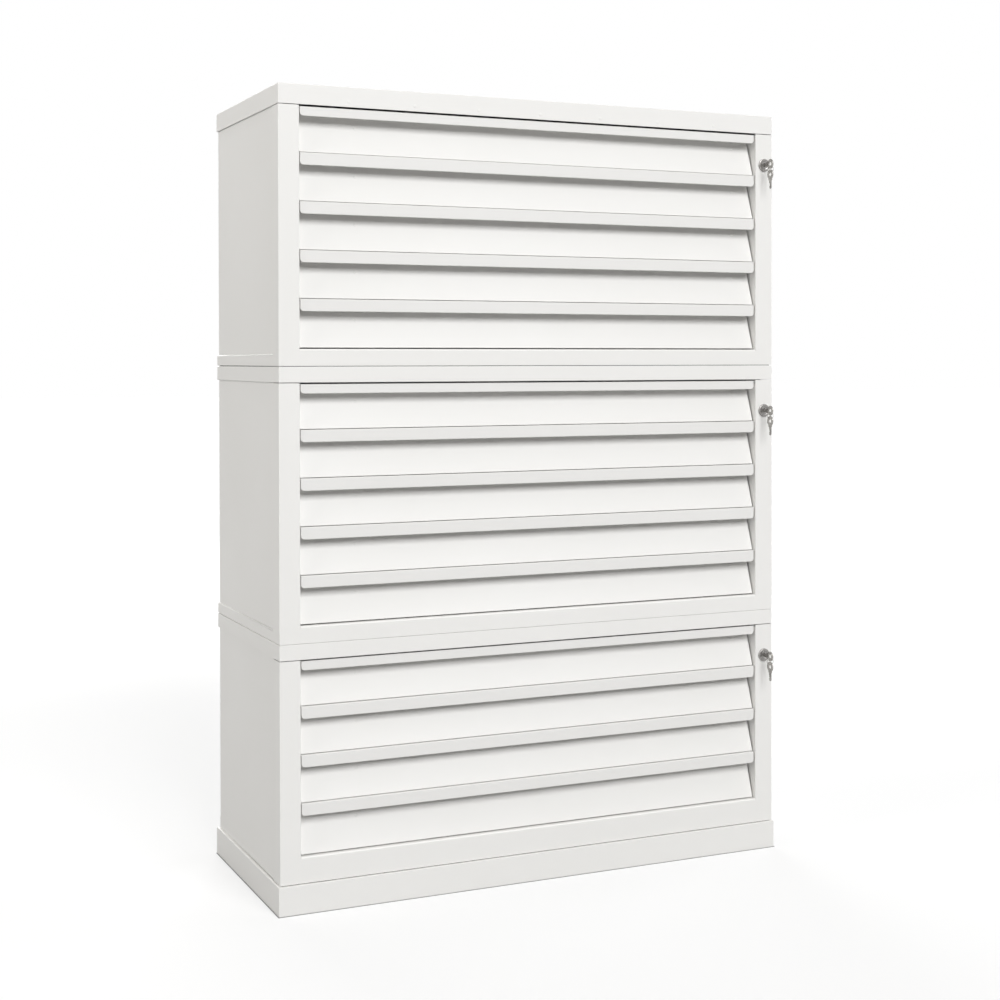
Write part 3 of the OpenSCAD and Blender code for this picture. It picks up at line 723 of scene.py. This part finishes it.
def shade_tape_ring(bm, place):
    """A flat ring of shade tape between a pan and what it stands on, as thick as the gap."""
    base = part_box(f"{place}_pan")[0].z
    loops = []
    for inset in (SHADE_TAPE_BACK, SHADE_TAPE_BACK + SHADE_TAPE_WIDTH):
        x, front, back = half_width - inset, face_y + inset, rear - inset
        corners = [(-x, front), (x, front), (x, back), (-x, back)]
        for top in (False, True):
            gaps = [gap_at(PAN_GAP[place], y) if top else 0.0 for _, y in corners]
            loops.append([bm.verts.new((x, y, base + gap))
                          for (x, y), gap in zip(corners, gaps)])
    outer_low, outer_top, inner_low, inner_top = loops
    for low, high in ((outer_low, outer_top), (inner_top, inner_low),
                      (outer_top, inner_top), (inner_low, outer_low)):
        for i in range(4):
            j = (i + 1) % 4
            bm.faces.new((low[i], low[j], high[j], high[i]))


bm = bmesh.new()
for place in PLACES:
    shade_tape_ring(bm, place)
bmesh.ops.recalc_face_normals(bm, faces=bm.faces)
# the rings are black nylon: painted shade that keeps the seams dark
shade_tape = place_piece(object_from(bm, "seam_tape"), body_of["plinth"], NYLON)
print("seam tape:", len(shade_tape.data.polygons), "faces in three rings")

# %% [markdown]
# ## Drawers
# A drawer front is one sheet: a slanted face that leaves room for fingers, under a full-width pull
# lip with rounded lower corners. It hangs on a tray whose folded sides are its rails. Both could be
# rounded just like the carcass, but they are folded from thinner steel, so their folds are tighter.

# %% How a drawer front differs from its solid
LIP_CORNER = 1.45  # the lip's lower corners are rounder than the exact solid's
FOOT_DROP = 0.7 * MM  # a face's foot comes down close over the next lip, but not over a rail
END_GAP = 0.4 * MM  # the sheet is that much shorter at each end, so a shadow line shows beside it
END_REACH = 12 * MM  # all corners within this reach of an end move together
LIP_STEEL = 2.1 * MM  # the lip's corners lie within this depth
front_of = {body: f"{body}_front" for body in DRAWERS}
above_rail = set()
for place in PLACES:
    over = [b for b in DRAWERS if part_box(front_of[b])[0].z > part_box(f"{place}_pan")[0].z]
    above_rail.add(min(over, key=lambda b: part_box(front_of[b])[0].z))


def front_reshape(body):
    """Rounds the lip's lower corners more, and brings the face's foot down over the next lip."""
    low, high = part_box(front_of[body])

    def reshape(corners):
        lip = [v for v in corners if v.co.y < low.y + LIP_STEEL]
        foot = min(v.co.z for v in lip)
        arc = max(abs(v.co.x) for v in lip if v.co.z < foot + NEAR)
        reach = high.x - arc
        for v in lip:
            if abs(v.co.x) > arc - NEAR and v.co.z < foot + reach + NEAR:
                corner = Vector((math.copysign(high.x, v.co.x), v.co.y, foot))
                v.co = corner + (v.co - corner) * LIP_CORNER
        for v in corners:
            if v.co.z < low.z + NEAR and body not in above_rail:
                v.co.z -= FOOT_DROP
            if abs(v.co.x) > high.x - END_REACH:
                v.co.x -= math.copysign(END_GAP, v.co.x)
    return reshape


print("drawers right above a rail:", sorted(above_rail))

# %% Drawer fronts and trays
DRAWER_FOLD_R = 1.2 * MM
END_FOLD_R = 1.8 * MM  # where a slanted face turns back into its end
SLANTED = 3 * MM  # a slanted edge runs further than this in depth and in height


def face_end(edge):
    """The radius of a slanted face's end fold."""
    a, b = (v.co for v in edge.verts)
    slanted = abs(a.y - b.y) > SLANTED and abs(a.z - b.z) > SLANTED
    return END_FOLD_R if slanted and abs(a.x - b.x) < NEAR else None


for body, front in front_of.items():
    tray = f"{body}_tray"
    front_sheet = rounded_copy(front, f"{front}_sheet", DRAWER_FOLD_R,
                               reshape=front_reshape(body), own_radius=face_end)
    tray_sheet = rounded_copy(tray, f"{tray}_sheet", DRAWER_FOLD_R)
    pieces[front] = place_piece(front_sheet, body, SHADED_DRAWER_COAT, front)
    place_piece(tray_sheet, body, SHADED_DRAWER_COAT, tray)
print("drawers:", len(DRAWERS), "fronts and trays")

# %% [markdown]
# ## What the drawers run in, and what locks and joins them
# Channels of zinc-plated sheet carry the drawers, a flat bar behind the right-hand post blocks them
# in nylon guides, and hexagon bolts join the modules. They hardly show and could stay exact solids,
# but an open drawer uncovers them, so they get the same rounded copies, each with its own edge.

# %% Runners, lock bars, guides and bolts
THIN_FOLD, NYLON_EDGE, BOLT_EDGE = 0.4 * MM, 0.8 * MM, 0.5 * MM
dress("runners", "runner_channels", ZINC, segments=2)
for place in PLACES:
    dress(f"{place}_lock_bar", f"{place}_lock_strip", ZINC, fold=THIN_FOLD, segments=2)
dress("bar_guides", "nylon_guides", NYLON, fold=NYLON_EDGE)
dress("joining_bolts", "hex_bolts", ZINC, fold=BOLT_EDGE, segments=2)
print("fittings: runners, lock bars, guides, bolts")

# %% [markdown]
# ## Locks
# A cabinet lock is turned from bar: a face with a broken edge and a fine groove, and a threaded
# barrel that a hexagon nut pulls against the back of the post. A cylinder with a bevel would do for
# the face, but the groove, the thread and the rings of the finish all follow one outline, so the
# lock is turned here too: an outline of radii and depths is spun round the lock's axis.

# %% A lathe
def turned(bm, outline, steps, closed, at=Matrix.Identity(4)):
    """Spins (radius, height) pairs, in mm, round Z; no radius gives one point on the axis."""
    rings = []
    for radius, height in outline:
        around = [2 * math.pi * i / steps for i in range(steps if radius else 1)]
        spots = [(radius * MM * math.cos(a), radius * MM * math.sin(a), height * MM)
                 for a in around]
        ring = [bm.verts.new(at @ Vector(spot)) for spot in spots]
        rings.append(ring if radius else ring * steps)
    pairs = list(zip(rings, rings[1:])) + ([(rings[-1], rings[0])] if closed else [])
    for low, high in pairs:
        for i in range(steps):
            j = (i + 1) % steps
            corners = list(dict.fromkeys([low[i], low[j], high[j], high[i]]))
            if len(corners) > 2:
                bm.faces.new(corners)
    bmesh.ops.recalc_face_normals(bm, faces=bm.faces)
    return bm


print("helper: turned")

# %% The outline of a lock
FACE_R, FACE_T = 12.0, 3.0  # mm
BARREL_R, BORE_R, BARREL_END = 9.5, 6.5, 32.0
THREAD_FROM, THREAD_RUNOUT = 4.0, 1.0  # from the post's face, and to the barrel's end
THREAD_PITCH, THREAD_DEPTH = 1.0, 0.35

thread = []
depth = THREAD_FROM
while depth < BARREL_END - THREAD_RUNOUT:
    thread += [(BARREL_R, depth), (BARREL_R - THREAD_DEPTH, depth + THREAD_PITCH / 2)]
    depth += THREAD_PITCH
lock_outline = (
    [(BORE_R, 1.0 - FACE_T), (BORE_R + 0.4, 0.4 - FACE_T), (BORE_R + 1.0, 0.25 - FACE_T),
     (8.3, 0.05 - FACE_T), (8.5, -FACE_T), (9.0, -FACE_T), (9.2, 0.3 - FACE_T),
     (9.6, 0.3 - FACE_T), (9.8, -FACE_T), (10.9, -FACE_T), (11.5, 0.2 - FACE_T),
     (11.85, 0.6 - FACE_T), (FACE_R, 1.1 - FACE_T), (FACE_R, -0.15), (FACE_R - 0.15, 0.0),
     (BARREL_R, 0.0), (BARREL_R, 3.0)]
    + thread + [(BARREL_R - 0.6, BARREL_END), (BORE_R, BARREL_END)]
)
print("lock outline:", len(lock_outline), "corners")

# %% Lock faces, barrels, nuts and plugs
LATHE_STEPS = 48
FITTING_SHARP = 35  # degrees
NUT_EDGE, PLUG_EDGE = 0.6 * MM, 0.35 * MM
ON_BARREL, ON_FACE = 0.02, 0.05  # mm; corners so close to the barrel or the face's rim are theirs
lock_places = [Vector(joint_of[f"{place}_lock_turn"]["pos_m"]) for place in PLACES]
bm = bmesh.new()
for place in lock_places:
    inwards = Matrix.Translation(place) @ Matrix.Rotation(math.radians(-90), 4, "X")
    turned(bm, lock_outline, LATHE_STEPS, True, inwards)
lock_faces = soften(object_from(bm, "lock_faces"), FITTING_SHARP)


def from_lock_axis(co):
    """How far a place is from the nearest lock's axis."""
    return min(math.hypot(co.x - lock.x, co.z - lock.z) for lock in lock_places)


def mark_lathe_distance(piece):
    """Writes down each corner's distance from the lock's axis, for the rings of the finish."""
    distance = piece.data.attributes.new("from_axis", "FLOAT", "POINT")
    distance.data.foreach_set("value", [from_lock_axis(v.co) for v in piece.data.vertices])


def is_nut(co):
    """Whether a corner of the lock cases belongs to a nut."""
    reach = from_lock_axis(co)
    return reach > (BARREL_R + ON_BARREL) * MM and abs(reach - FACE_R * MM) > ON_FACE * MM


mark_lathe_distance(lock_faces)
place_piece(lock_faces, "cabinet", TURNED, "lock_cases")
place_piece(rounded_copy("lock_cases", "lock_nuts", fold=NUT_EDGE, keep=is_nut),
            "cabinet", NICKEL)
for place in PLACES:
    plug = dress(f"{place}_lock_plug", f"{place}_plug", TURNED, fold=PLUG_EDGE, segments=2)
    mark_lathe_distance(plug)
print("locks:", len(lock_places), "faces with", len(lock_faces.data.polygons),
      "faces, nuts and plugs")

# %% [markdown]
# ## Keys
# A flat key is punched from sheet, its blade is milled with cuts on one edge, and tumbling rounds
# every edge a little. It could be cut from a box, but a filled curve with a hole gives the punched
# outline at once, and the curve's own bevel gives the tumbled edge. One key is made and then set in
# its two places at each lock: pushed into the plug, and hanging from the split ring.

# %% The key's outline
KEY_T, BOW_R, HOLE_R, BLADE_HALF, TIP = 2.0, 9.3, 4.0, 3.75, 27.3  # mm
SHOULDER_Y, SHOULDER_Z = 5.2, 11.6
BOW_STEPS, HOLE_STEPS = 40, 32
CUTS = [(3.3, 14.0), (3.3, 15.6), (1.7, 17.0), (2.6, 18.4), (1.1, 19.8), (1.1, 20.8), (2.7, 22.4),
        (1.8, 23.6), (2.6, 24.8), (1.0, TIP)]

bow_start = math.atan2(-SHOULDER_Z + 3.9, SHOULDER_Y + 0.1)
bow_turn = math.pi - 2 * bow_start
bow_angles = [bow_start + bow_turn * i / BOW_STEPS for i in range(BOW_STEPS + 1)]
hole_angles = [2 * math.pi * i / HOLE_STEPS for i in range(HOLE_STEPS)]
key_outline = (
    [(BOW_R * math.cos(a), BOW_R * math.sin(a)) for a in bow_angles]
    + [(-SHOULDER_Y, -SHOULDER_Z + 1.2), (-SHOULDER_Y + 0.6, -SHOULDER_Z),
       (-BLADE_HALF + 0.3, -SHOULDER_Z), (-BLADE_HALF + 0.3, -TIP + 2.2),
       (-BLADE_HALF + 2.0, -TIP)]
    + [(y, -z) for y, z in reversed(CUTS)]
    + [(3.3, -SHOULDER_Z), (SHOULDER_Y - 0.6, -SHOULDER_Z), (SHOULDER_Y, -SHOULDER_Z + 1.2)]
)
key_hole = [(HOLE_R * math.cos(a), HOLE_R * math.sin(a)) for a in hole_angles]
print("key outline:", len(key_outline), "corners, and", len(key_hole), "round the hole")

# %% One key
KEY_EDGE = 0.22  # mm
KEY_MERGE = 0.001 * MM
RIB_AT, RIB_SIZE = (0.95, -0.9, -19.2), (0.3, 1.1, 14.0)  # a low rib along each side of the blade
UPRIGHT = Matrix(((0, 0, 1, 0), (1, 0, 0, 0), (0, 1, 0, 0), (0, 0, 0, 1)))


def key_mesh():
    """The key standing up and down in Y and Z, its bow centred on the origin, in metres."""
    curve = bpy.data.curves.new("key_outline", "CURVE")
    curve.dimensions = "2D"
    curve.fill_mode = "BOTH"
    curve.extrude = (KEY_T / 2 - KEY_EDGE) * MM
    curve.bevel_depth = KEY_EDGE * MM
    curve.bevel_resolution = 1
    curve.offset = -KEY_EDGE * MM
    for ring in (key_outline, key_hole):
        spline = curve.splines.new("POLY")
        spline.points.add(len(ring) - 1)
        for point, (y, z) in zip(spline.points, ring):
            point.co = (y * MM, z * MM, 0, 1)
        spline.use_cyclic_u = True
    flat = bpy.data.objects.new("key_outline", curve)
    bpy.context.scene.collection.objects.link(flat)
    graph = bpy.context.evaluated_depsgraph_get()
    mesh = bpy.data.meshes.new_from_object(flat.evaluated_get(graph))
    bpy.data.objects.remove(flat)
    bpy.data.curves.remove(curve)
    bm = bmesh.new()
    bm.from_mesh(mesh)
    bpy.data.meshes.remove(mesh)
    bmesh.ops.remove_doubles(bm, verts=bm.verts, dist=KEY_MERGE)
    bm.transform(UPRIGHT)
    size = Matrix.Diagonal((*(v * MM for v in RIB_SIZE), 1))
    for side in (-1, 1):
        at = Vector((side * RIB_AT[0], *RIB_AT[1:])) * MM
        bmesh.ops.create_cube(bm, size=1, matrix=Matrix.Translation(at) @ size)
    bmesh.ops.recalc_face_normals(bm, faces=bm.faces)
    return bm


key_pattern = key_mesh()
print("key:", len(key_pattern.faces), "faces")

# %% Split rings
RING_R, WIRE_R, RING_TURNS, RING_PITCH = 6.75, 0.42, 1.9, 0.86  # mm
RING_STEPS, WIRE_SIDES, RING_START = 76, 10, math.radians(20)


def split_ring(centre):
    """A ring wound from wire, almost two turns round the Y axis, with closed ends."""
    bm = bmesh.new()
    sections = []
    wire_angles = [2 * math.pi * k / WIRE_SIDES for k in range(WIRE_SIDES)]
    for i in range(RING_STEPS + 1):
        share = i / RING_STEPS
        angle = RING_START + share * RING_TURNS * 2 * math.pi
        outward = Vector((math.cos(angle), 0, math.sin(angle)))
        along = (share - 0.5) * RING_PITCH * RING_TURNS / 2 * MM
        middle = centre + outward * RING_R * MM + Vector((0, along, 0))
        round_wire = [outward * math.cos(t) + Vector((0, math.sin(t), 0)) for t in wire_angles]
        sections.append([bm.verts.new(middle + WIRE_R * MM * away) for away in round_wire])
    for a, b in zip(sections, sections[1:]):
        for k in range(WIRE_SIDES):
            n = (k + 1) % WIRE_SIDES
            bm.faces.new((a[k], a[n], b[n], b[k]))
    bm.faces.new(sections[0])
    bm.faces.new(sections[-1])
    bmesh.ops.recalc_face_normals(bm, faces=bm.faces)
    return bm


print("ring:", RING_TURNS, "turns of", 2 * WIRE_R, "mm wire")

# %% Inserted and hanging keys
def set_key(place, way, node, matrix):
    """A key in its place, on the body of the node that it stands for."""
    bm = key_pattern.copy()
    bm.transform(matrix)
    key = soften(object_from(bm, f"{place}_{way}_key"), FITTING_SHARP)
    place_piece(key, body_of[node], NICKEL, node)


for place, lock in zip(PLACES, lock_places):
    spare = f"{place}_spare_key"
    low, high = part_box(spare)
    bow_centre = Vector((lock.x, (low.y + high.y) / 2, lock.z))
    drop = bow_centre.z - low.z - TIP * MM
    set_key(place, "pushed_in", f"{place}_key",
            Matrix.Translation(bow_centre) @ Matrix.Rotation(math.radians(90), 4, "X"))
    set_key(place, "hanging", spare, Matrix.Translation(bow_centre - Vector((0, 0, drop))))
    ring = object_from(split_ring(bow_centre - Vector((0, 0, drop / 2))), f"{place}_split_ring")
    place_piece(soften(ring, FITTING_SHARP), body_of[spare], NICKEL)
key_pattern.free()
print("keys and rings at", [tuple(round(v, 4) for v in lock) for lock in lock_places])

# %% [markdown]
# ## Small heads in rows: weld marks, rivets and screws
# Spot welds leave faint round marks on the slanted faces and on the upper cap, rivets hold the back
# sheets, and screws hold the runners. Placing each by hand would work for one drawer, but they all
# repeat, so one Geometry Nodes tree sets a head on every point of a row, turned to face outwards.

# %% A tree that sets a head on every point
heads_tree, enter, leave = node_group(
    "rows_of_heads", "GeometryNodeTree",
    [("Points", "Geometry", None), ("Head", "Object", None), ("Head Scale", "Float", 1.0),
     ("Finish", "Material", None)],
    [("Heads", "Geometry")],
)
head = node_in(heads_tree, "GeometryNodeObjectInfo", (-500, -150), {"Object": enter["Head"]})
facing = node_in(heads_tree, "GeometryNodeInputNamedAttribute", (-700, -350),
                 {"Name": "facing"}, data_type="FLOAT_VECTOR")
turn = node_in(heads_tree, "FunctionNodeAlignRotationToVector", (-500, -350),
               {"Vector": facing.outputs["Attribute"]}, axis="Z")
stand = node_in(heads_tree, "GeometryNodeInstanceOnPoints", (-200, 0), {
    "Points": enter["Points"], "Instance": head.outputs["Geometry"],
    "Rotation": turn.outputs["Rotation"], "Scale": enter["Head Scale"]})
real = node_in(heads_tree, "GeometryNodeRealizeInstances", (0, 0), {"Geometry": stand})
painted = node_in(heads_tree, "GeometryNodeSetMaterial", (200, 0), {
    "Geometry": real, "Material": enter["Finish"]})
feed(heads_tree, leave, {"Heads": painted})
print("tree:", heads_tree.name, "with", len(heads_tree.nodes), "nodes")

# %% Rows of heads as one plain mesh
def heads_on(name, spots, head, body, material, scale=1.0):
    """A piece made of heads that stand on (place, facing) pairs."""
    mesh = bpy.data.meshes.new(name + "_points")
    mesh.from_pydata([tuple(place) for place, _ in spots], [], [])
    facing = mesh.attributes.new("facing", "FLOAT_VECTOR", "POINT")
    facing.data.foreach_set("vector", [value for _, normal in spots for value in normal])
    carrier = bpy.data.objects.new(name, mesh)
    bpy.context.scene.collection.objects.link(carrier)
    rows = carrier.modifiers.new("rows_of_heads", "NODES")
    rows.node_group = heads_tree
    socket = {item.name: item.identifier for item in heads_tree.interface.items_tree
              if item.in_out == "INPUT"}
    rows[socket["Head"]] = head
    rows[socket["Head Scale"]] = scale
    rows[socket["Finish"]] = material
    bpy.context.view_layer.update()
    graph = bpy.context.evaluated_depsgraph_get()
    finished = bpy.data.meshes.new_from_object(carrier.evaluated_get(graph))
    carrier.modifiers.remove(rows)
    carrier.data = finished
    finished.name = name
    bpy.data.meshes.remove(mesh)
    return place_piece(carrier, body, material)


print("helper: heads_on")

# %% Patterns for the heads
HEAD_STEPS = 12
HEAD_SHARP = 50  # degrees


def head_pattern(name, outline):
    """A small turned head, used only as a pattern; its outline is in mm."""
    return soften(object_from(turned(bmesh.new(), outline, HEAD_STEPS, False), name), HEAD_SHARP)


WELD_MARK = head_pattern("weld_mark", [
    (0, -0.3), (3.4, -0.3), (3.4, 0), (2.7, 0.25), (1.6, 0.45), (0, 0.5)])
RIVET = head_pattern("rivet", [
    (0, -0.6), (3.2, -0.6), (3.2, 0.1), (2.9, 0.6), (2.0, 1.0), (1.1, 1.1), (1.0, 0.7), (0, 0.65)])
SCREW = head_pattern("screw", [
    (0, -0.8), (3.4, -0.8), (3.4, 0.5), (3.0, 1.3), (2.0, 1.7), (1.3, 1.7), (1.2, 0.7), (0, 0.6)])
print("patterns:", [pattern.name for pattern in (WELD_MARK, RIVET, SCREW)])

# %% Where a front's finished surface lies
IN_FRONT = 0.05  # metres in front of the sheet, where a ray starts
LIP_FROM, LIP_STEP, LIP_DEPTH = 3 * MM, 0.5 * MM, 4 * MM
INWARDS = Vector((0, 1, 0))


def finished_tree(piece):
    """A tree of a piece's finished surface, in the object's frame."""
    ready = piece.evaluated_get(bpy.context.evaluated_depsgraph_get())
    mesh = ready.to_mesh()
    tree = BVHTree.FromPolygons([v.co.copy() for v in mesh.vertices],
                                [tuple(p.vertices) for p in mesh.polygons])
    ready.to_mesh_clear()
    return tree


def front_at(tree, x, y, z):
    """The place and the facing of a surface, seen straight from the front."""
    return tree.ray_cast(Vector((x, y - IN_FRONT, z)), INWARDS)[:2]


def lip_foot(body):
    """The height of the pull lip's lower edge, the first miss on the way down, and the tree."""
    low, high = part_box(front_of[body])
    tree = finished_tree(pieces[front_of[body]])
    z = high.z - LIP_FROM
    while z > low.z:
        place = front_at(tree, 0.0, low.y, z)[0]
        if place is None or place.y > low.y + LIP_DEPTH:
            break
        z -= LIP_STEP
    return z, tree


bpy.context.view_layer.update()
first_foot, first_tree = lip_foot(DRAWERS[0])
print("the first lip's lower edge is at", round(first_foot, 4), "m")

# %% Weld marks on the slanted faces
face_spots = [surface_at(POINTS[f"face_mark_{end}"], first_tree) for end in ("left", "right")]
for body in DRAWERS:
    foot, tree = lip_foot(body)
    front_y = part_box(front_of[body])[0].y
    spots = [front_at(tree, spot.x, front_y, foot - (first_foot - spot.z)) for spot in face_spots]
    heads_on(f"{body}_weld_marks", spots, WELD_MARK, body, SHADED_DRAWER_COAT)
print("weld marks on the first face at", [tuple(round(v, 4) for v in spot) for spot in face_spots])

# %% Weld marks along the upper cap
CAP_END = 0.03  # metres at the right-hand end without a mark
cap_tree = finished_tree(pieces["upper_cap"])
first, second = (surface_at(POINTS[f"cap_mark_{at}"], cap_tree) for at in ("first", "second"))
step = second.x - first.x
spots = []
x = first.x
while x < half_width - CAP_END:
    spots.append(front_at(cap_tree, x, face_y, (first.z + second.z) / 2))
    x += step
heads_on("cap_weld_marks", spots, WELD_MARK, "cabinet", CABINET_COAT)
print("cap weld marks:", len(spots), "every", round(step / MM, 1), "mm")

# %% Rivets on the back
REAR_FLANGE_MIDDLE = 11 * MM  # from the panel's outside
RIVETS_PER_SIDE = 4
RIVETS_FROM, RIVETS_SPAN = 0.06, 0.88  # of the back's height
spots = []
for place in PLACES:
    low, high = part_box(f"{place}_back")
    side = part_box(f"{place}_right_side")[1]
    for x in (low.x + REAR_FLANGE_MIDDLE, high.x - REAR_FLANGE_MIDDLE):
        for i in range(RIVETS_PER_SIDE):
            share = RIVETS_FROM + RIVETS_SPAN * (i + 0.5) / RIVETS_PER_SIDE
            spots.append((Vector((x, side.y, low.z + (high.z - low.z) * share)), INWARDS))
heads_on("back_rivets", spots, RIVET, "cabinet", CABINET_COAT)
print("rivets:", len(spots))

# %% Screws in the runners
RUNNER_SHEET = 1.5 * MM
SCREW_INSET = 0.03  # metres from a runner's ends


def solids_of(bm):
    """The lowest and highest corner of each separate solid."""
    unseen = set(bm.verts)
    while unseen:
        stack, solid = [unseen.pop()], []
        while stack:
            vertex = stack.pop()
            solid.append(vertex.co)
            fresh = {edge.other_vert(vertex) for edge in vertex.link_edges} & unseen
            unseen -= fresh
            stack += fresh
        yield Vector(map(min, zip(*solid))), Vector(map(max, zip(*solid)))


bm = merged_copy("runners")
spots = []
for low, high in solids_of(bm):
    right = low.x > 0
    wall_x = high.x - RUNNER_SHEET if right else low.x + RUNNER_SHEET
    for y in (low.y + SCREW_INSET, (low.y + high.y) / 2, high.y - SCREW_INSET):
        spots.append((Vector((wall_x, y, (low.z + high.z) / 2)),
                      Vector((-1 if right else 1, 0, 0))))
bm.free()
spots.sort(key=lambda spot: tuple(round(v, 4) for v in spot[0]))
heads_on("runner_screws", spots, SCREW, "cabinet", ZINC)
for pattern in (WELD_MARK, RIVET, SCREW):
    bpy.data.objects.remove(pattern)
print("screws:", len(spots))

# %% [markdown]
# ## Where everything shows
# The last step finds where each named thing shows in the image. A box's corners could be used, but
# a rounded edge shows a little inside its box, so corners are found among the finished vertices
# that the camera sees.

# %% The finished surfaces
bpy.context.scene.view_settings.view_transform = "Standard"
bpy.context.view_layer.update()
graph = bpy.context.evaluated_depsgraph_get()
shown, everything, faces = {}, [], []
for piece in list(bpy.context.scene.objects):
    if piece.type != "MESH" or piece == floor or piece.hide_render:
        continue
    mesh = piece.evaluated_get(graph).to_mesh()
    shown[piece.name] = [piece.matrix_world @ v.co for v in mesh.vertices]
    faces += [tuple(i + len(everything) for i in p.vertices) for p in mesh.polygons]
    everything += shown[piece.name]
    piece.evaluated_get(graph).to_mesh_clear()
whole = BVHTree.FromPolygons(everything, faces)
print("finished:", len(shown), "pieces with", len(faces), "faces")

# %% What the camera sees of a piece
UNHIDDEN = 0.6 * MM  # a surface so close before a corner doesn't hide it


def seen(name, test=None):
    """The image points of a piece's finished vertices that the camera sees."""
    points = []
    for corner in shown[name]:
        if test is not None and not test(corner):
            continue
        away = corner - EYE
        hit = whole.ray_cast(EYE, away.normalized())[3]
        if hit is None or hit > away.length - UNHIDDEN:
            points.append(image_of(corner))
    return points


def furthest(points, across, down):
    """The seen point that lies furthest in a direction of the image."""
    return max(points, key=lambda p: p[0] * across + p[1] * down)


def middle_of(points):
    """The middle of what shows."""
    xs, ys = [p[0] for p in points], [p[1] for p in points]
    return (min(xs) + max(xs)) / 2, (min(ys) + max(ys)) / 2


print("helpers: seen, furthest, middle_of")

# %% Where the named things show
EDGE_REACH, LOCK_REACH, MARK_REACH = 0.003, 0.02, 0.01  # metres


def at_front_left(corner):
    """Whether a corner belongs to the cabinet's front left edge."""
    return corner.x < EDGE_REACH - half_width and corner.y < face_y + EDGE_REACH


cap_seen = seen("upper_cap_sheet")
plinth_seen = seen("plinth_sheet")
edge_seen = cap_seen + plinth_seen + [p for place in PLACES for p in seen(f"{place}_hanging_key")]
found = {
    "object_left_x": min(p[0] for p in edge_seen),
    "object_right_x": max(p[0] for p in edge_seen),
    "object_top_y": min(p[1] for p in edge_seen),
    "object_bottom_y": max(p[1] for p in edge_seen),
    "cap_front_left": furthest(cap_seen, 0, -1),
    "cap_rear_left": furthest(cap_seen, -1, -0.3),
    "cap_front_right": furthest(cap_seen, 1, -0.6),
    "upper_seam_front_left": furthest(seen("middle_cap_sheet", at_front_left), 0, -1),
    "lower_seam_front_left": furthest(seen("lower_cap_sheet", at_front_left), 0, -1),
    "plinth_foot_front_left": furthest(plinth_seen, 0, 1),
    "plinth_foot_front_right": furthest(plinth_seen, 1, 0.6),
    "plinth_foot_rear_left": furthest(plinth_seen, -1, 0.3),
}
for place, lock in zip(PLACES, lock_places):
    found[f"{place}_lock"] = middle_of(
        seen("lock_faces", lambda c: (c - lock).length < LOCK_REACH and c.y < lock.y))
first_marks = f"{DRAWERS[0]}_weld_marks"
across = [corner.x for corner in shown[first_marks]]
half = (min(across) + max(across)) / 2
found["face_mark_left"] = middle_of(seen(first_marks, lambda c: c.x < half))
found["face_mark_right"] = middle_of(seen(first_marks, lambda c: c.x > half))
for name, mark in (("cap_mark_first", first), ("cap_mark_second", second)):
    found[name] = middle_of(seen("cap_weld_marks", lambda c: abs(c.x - mark.x) < MARK_REACH))
print("found:", len(found), "of", len(POINTS), "points")
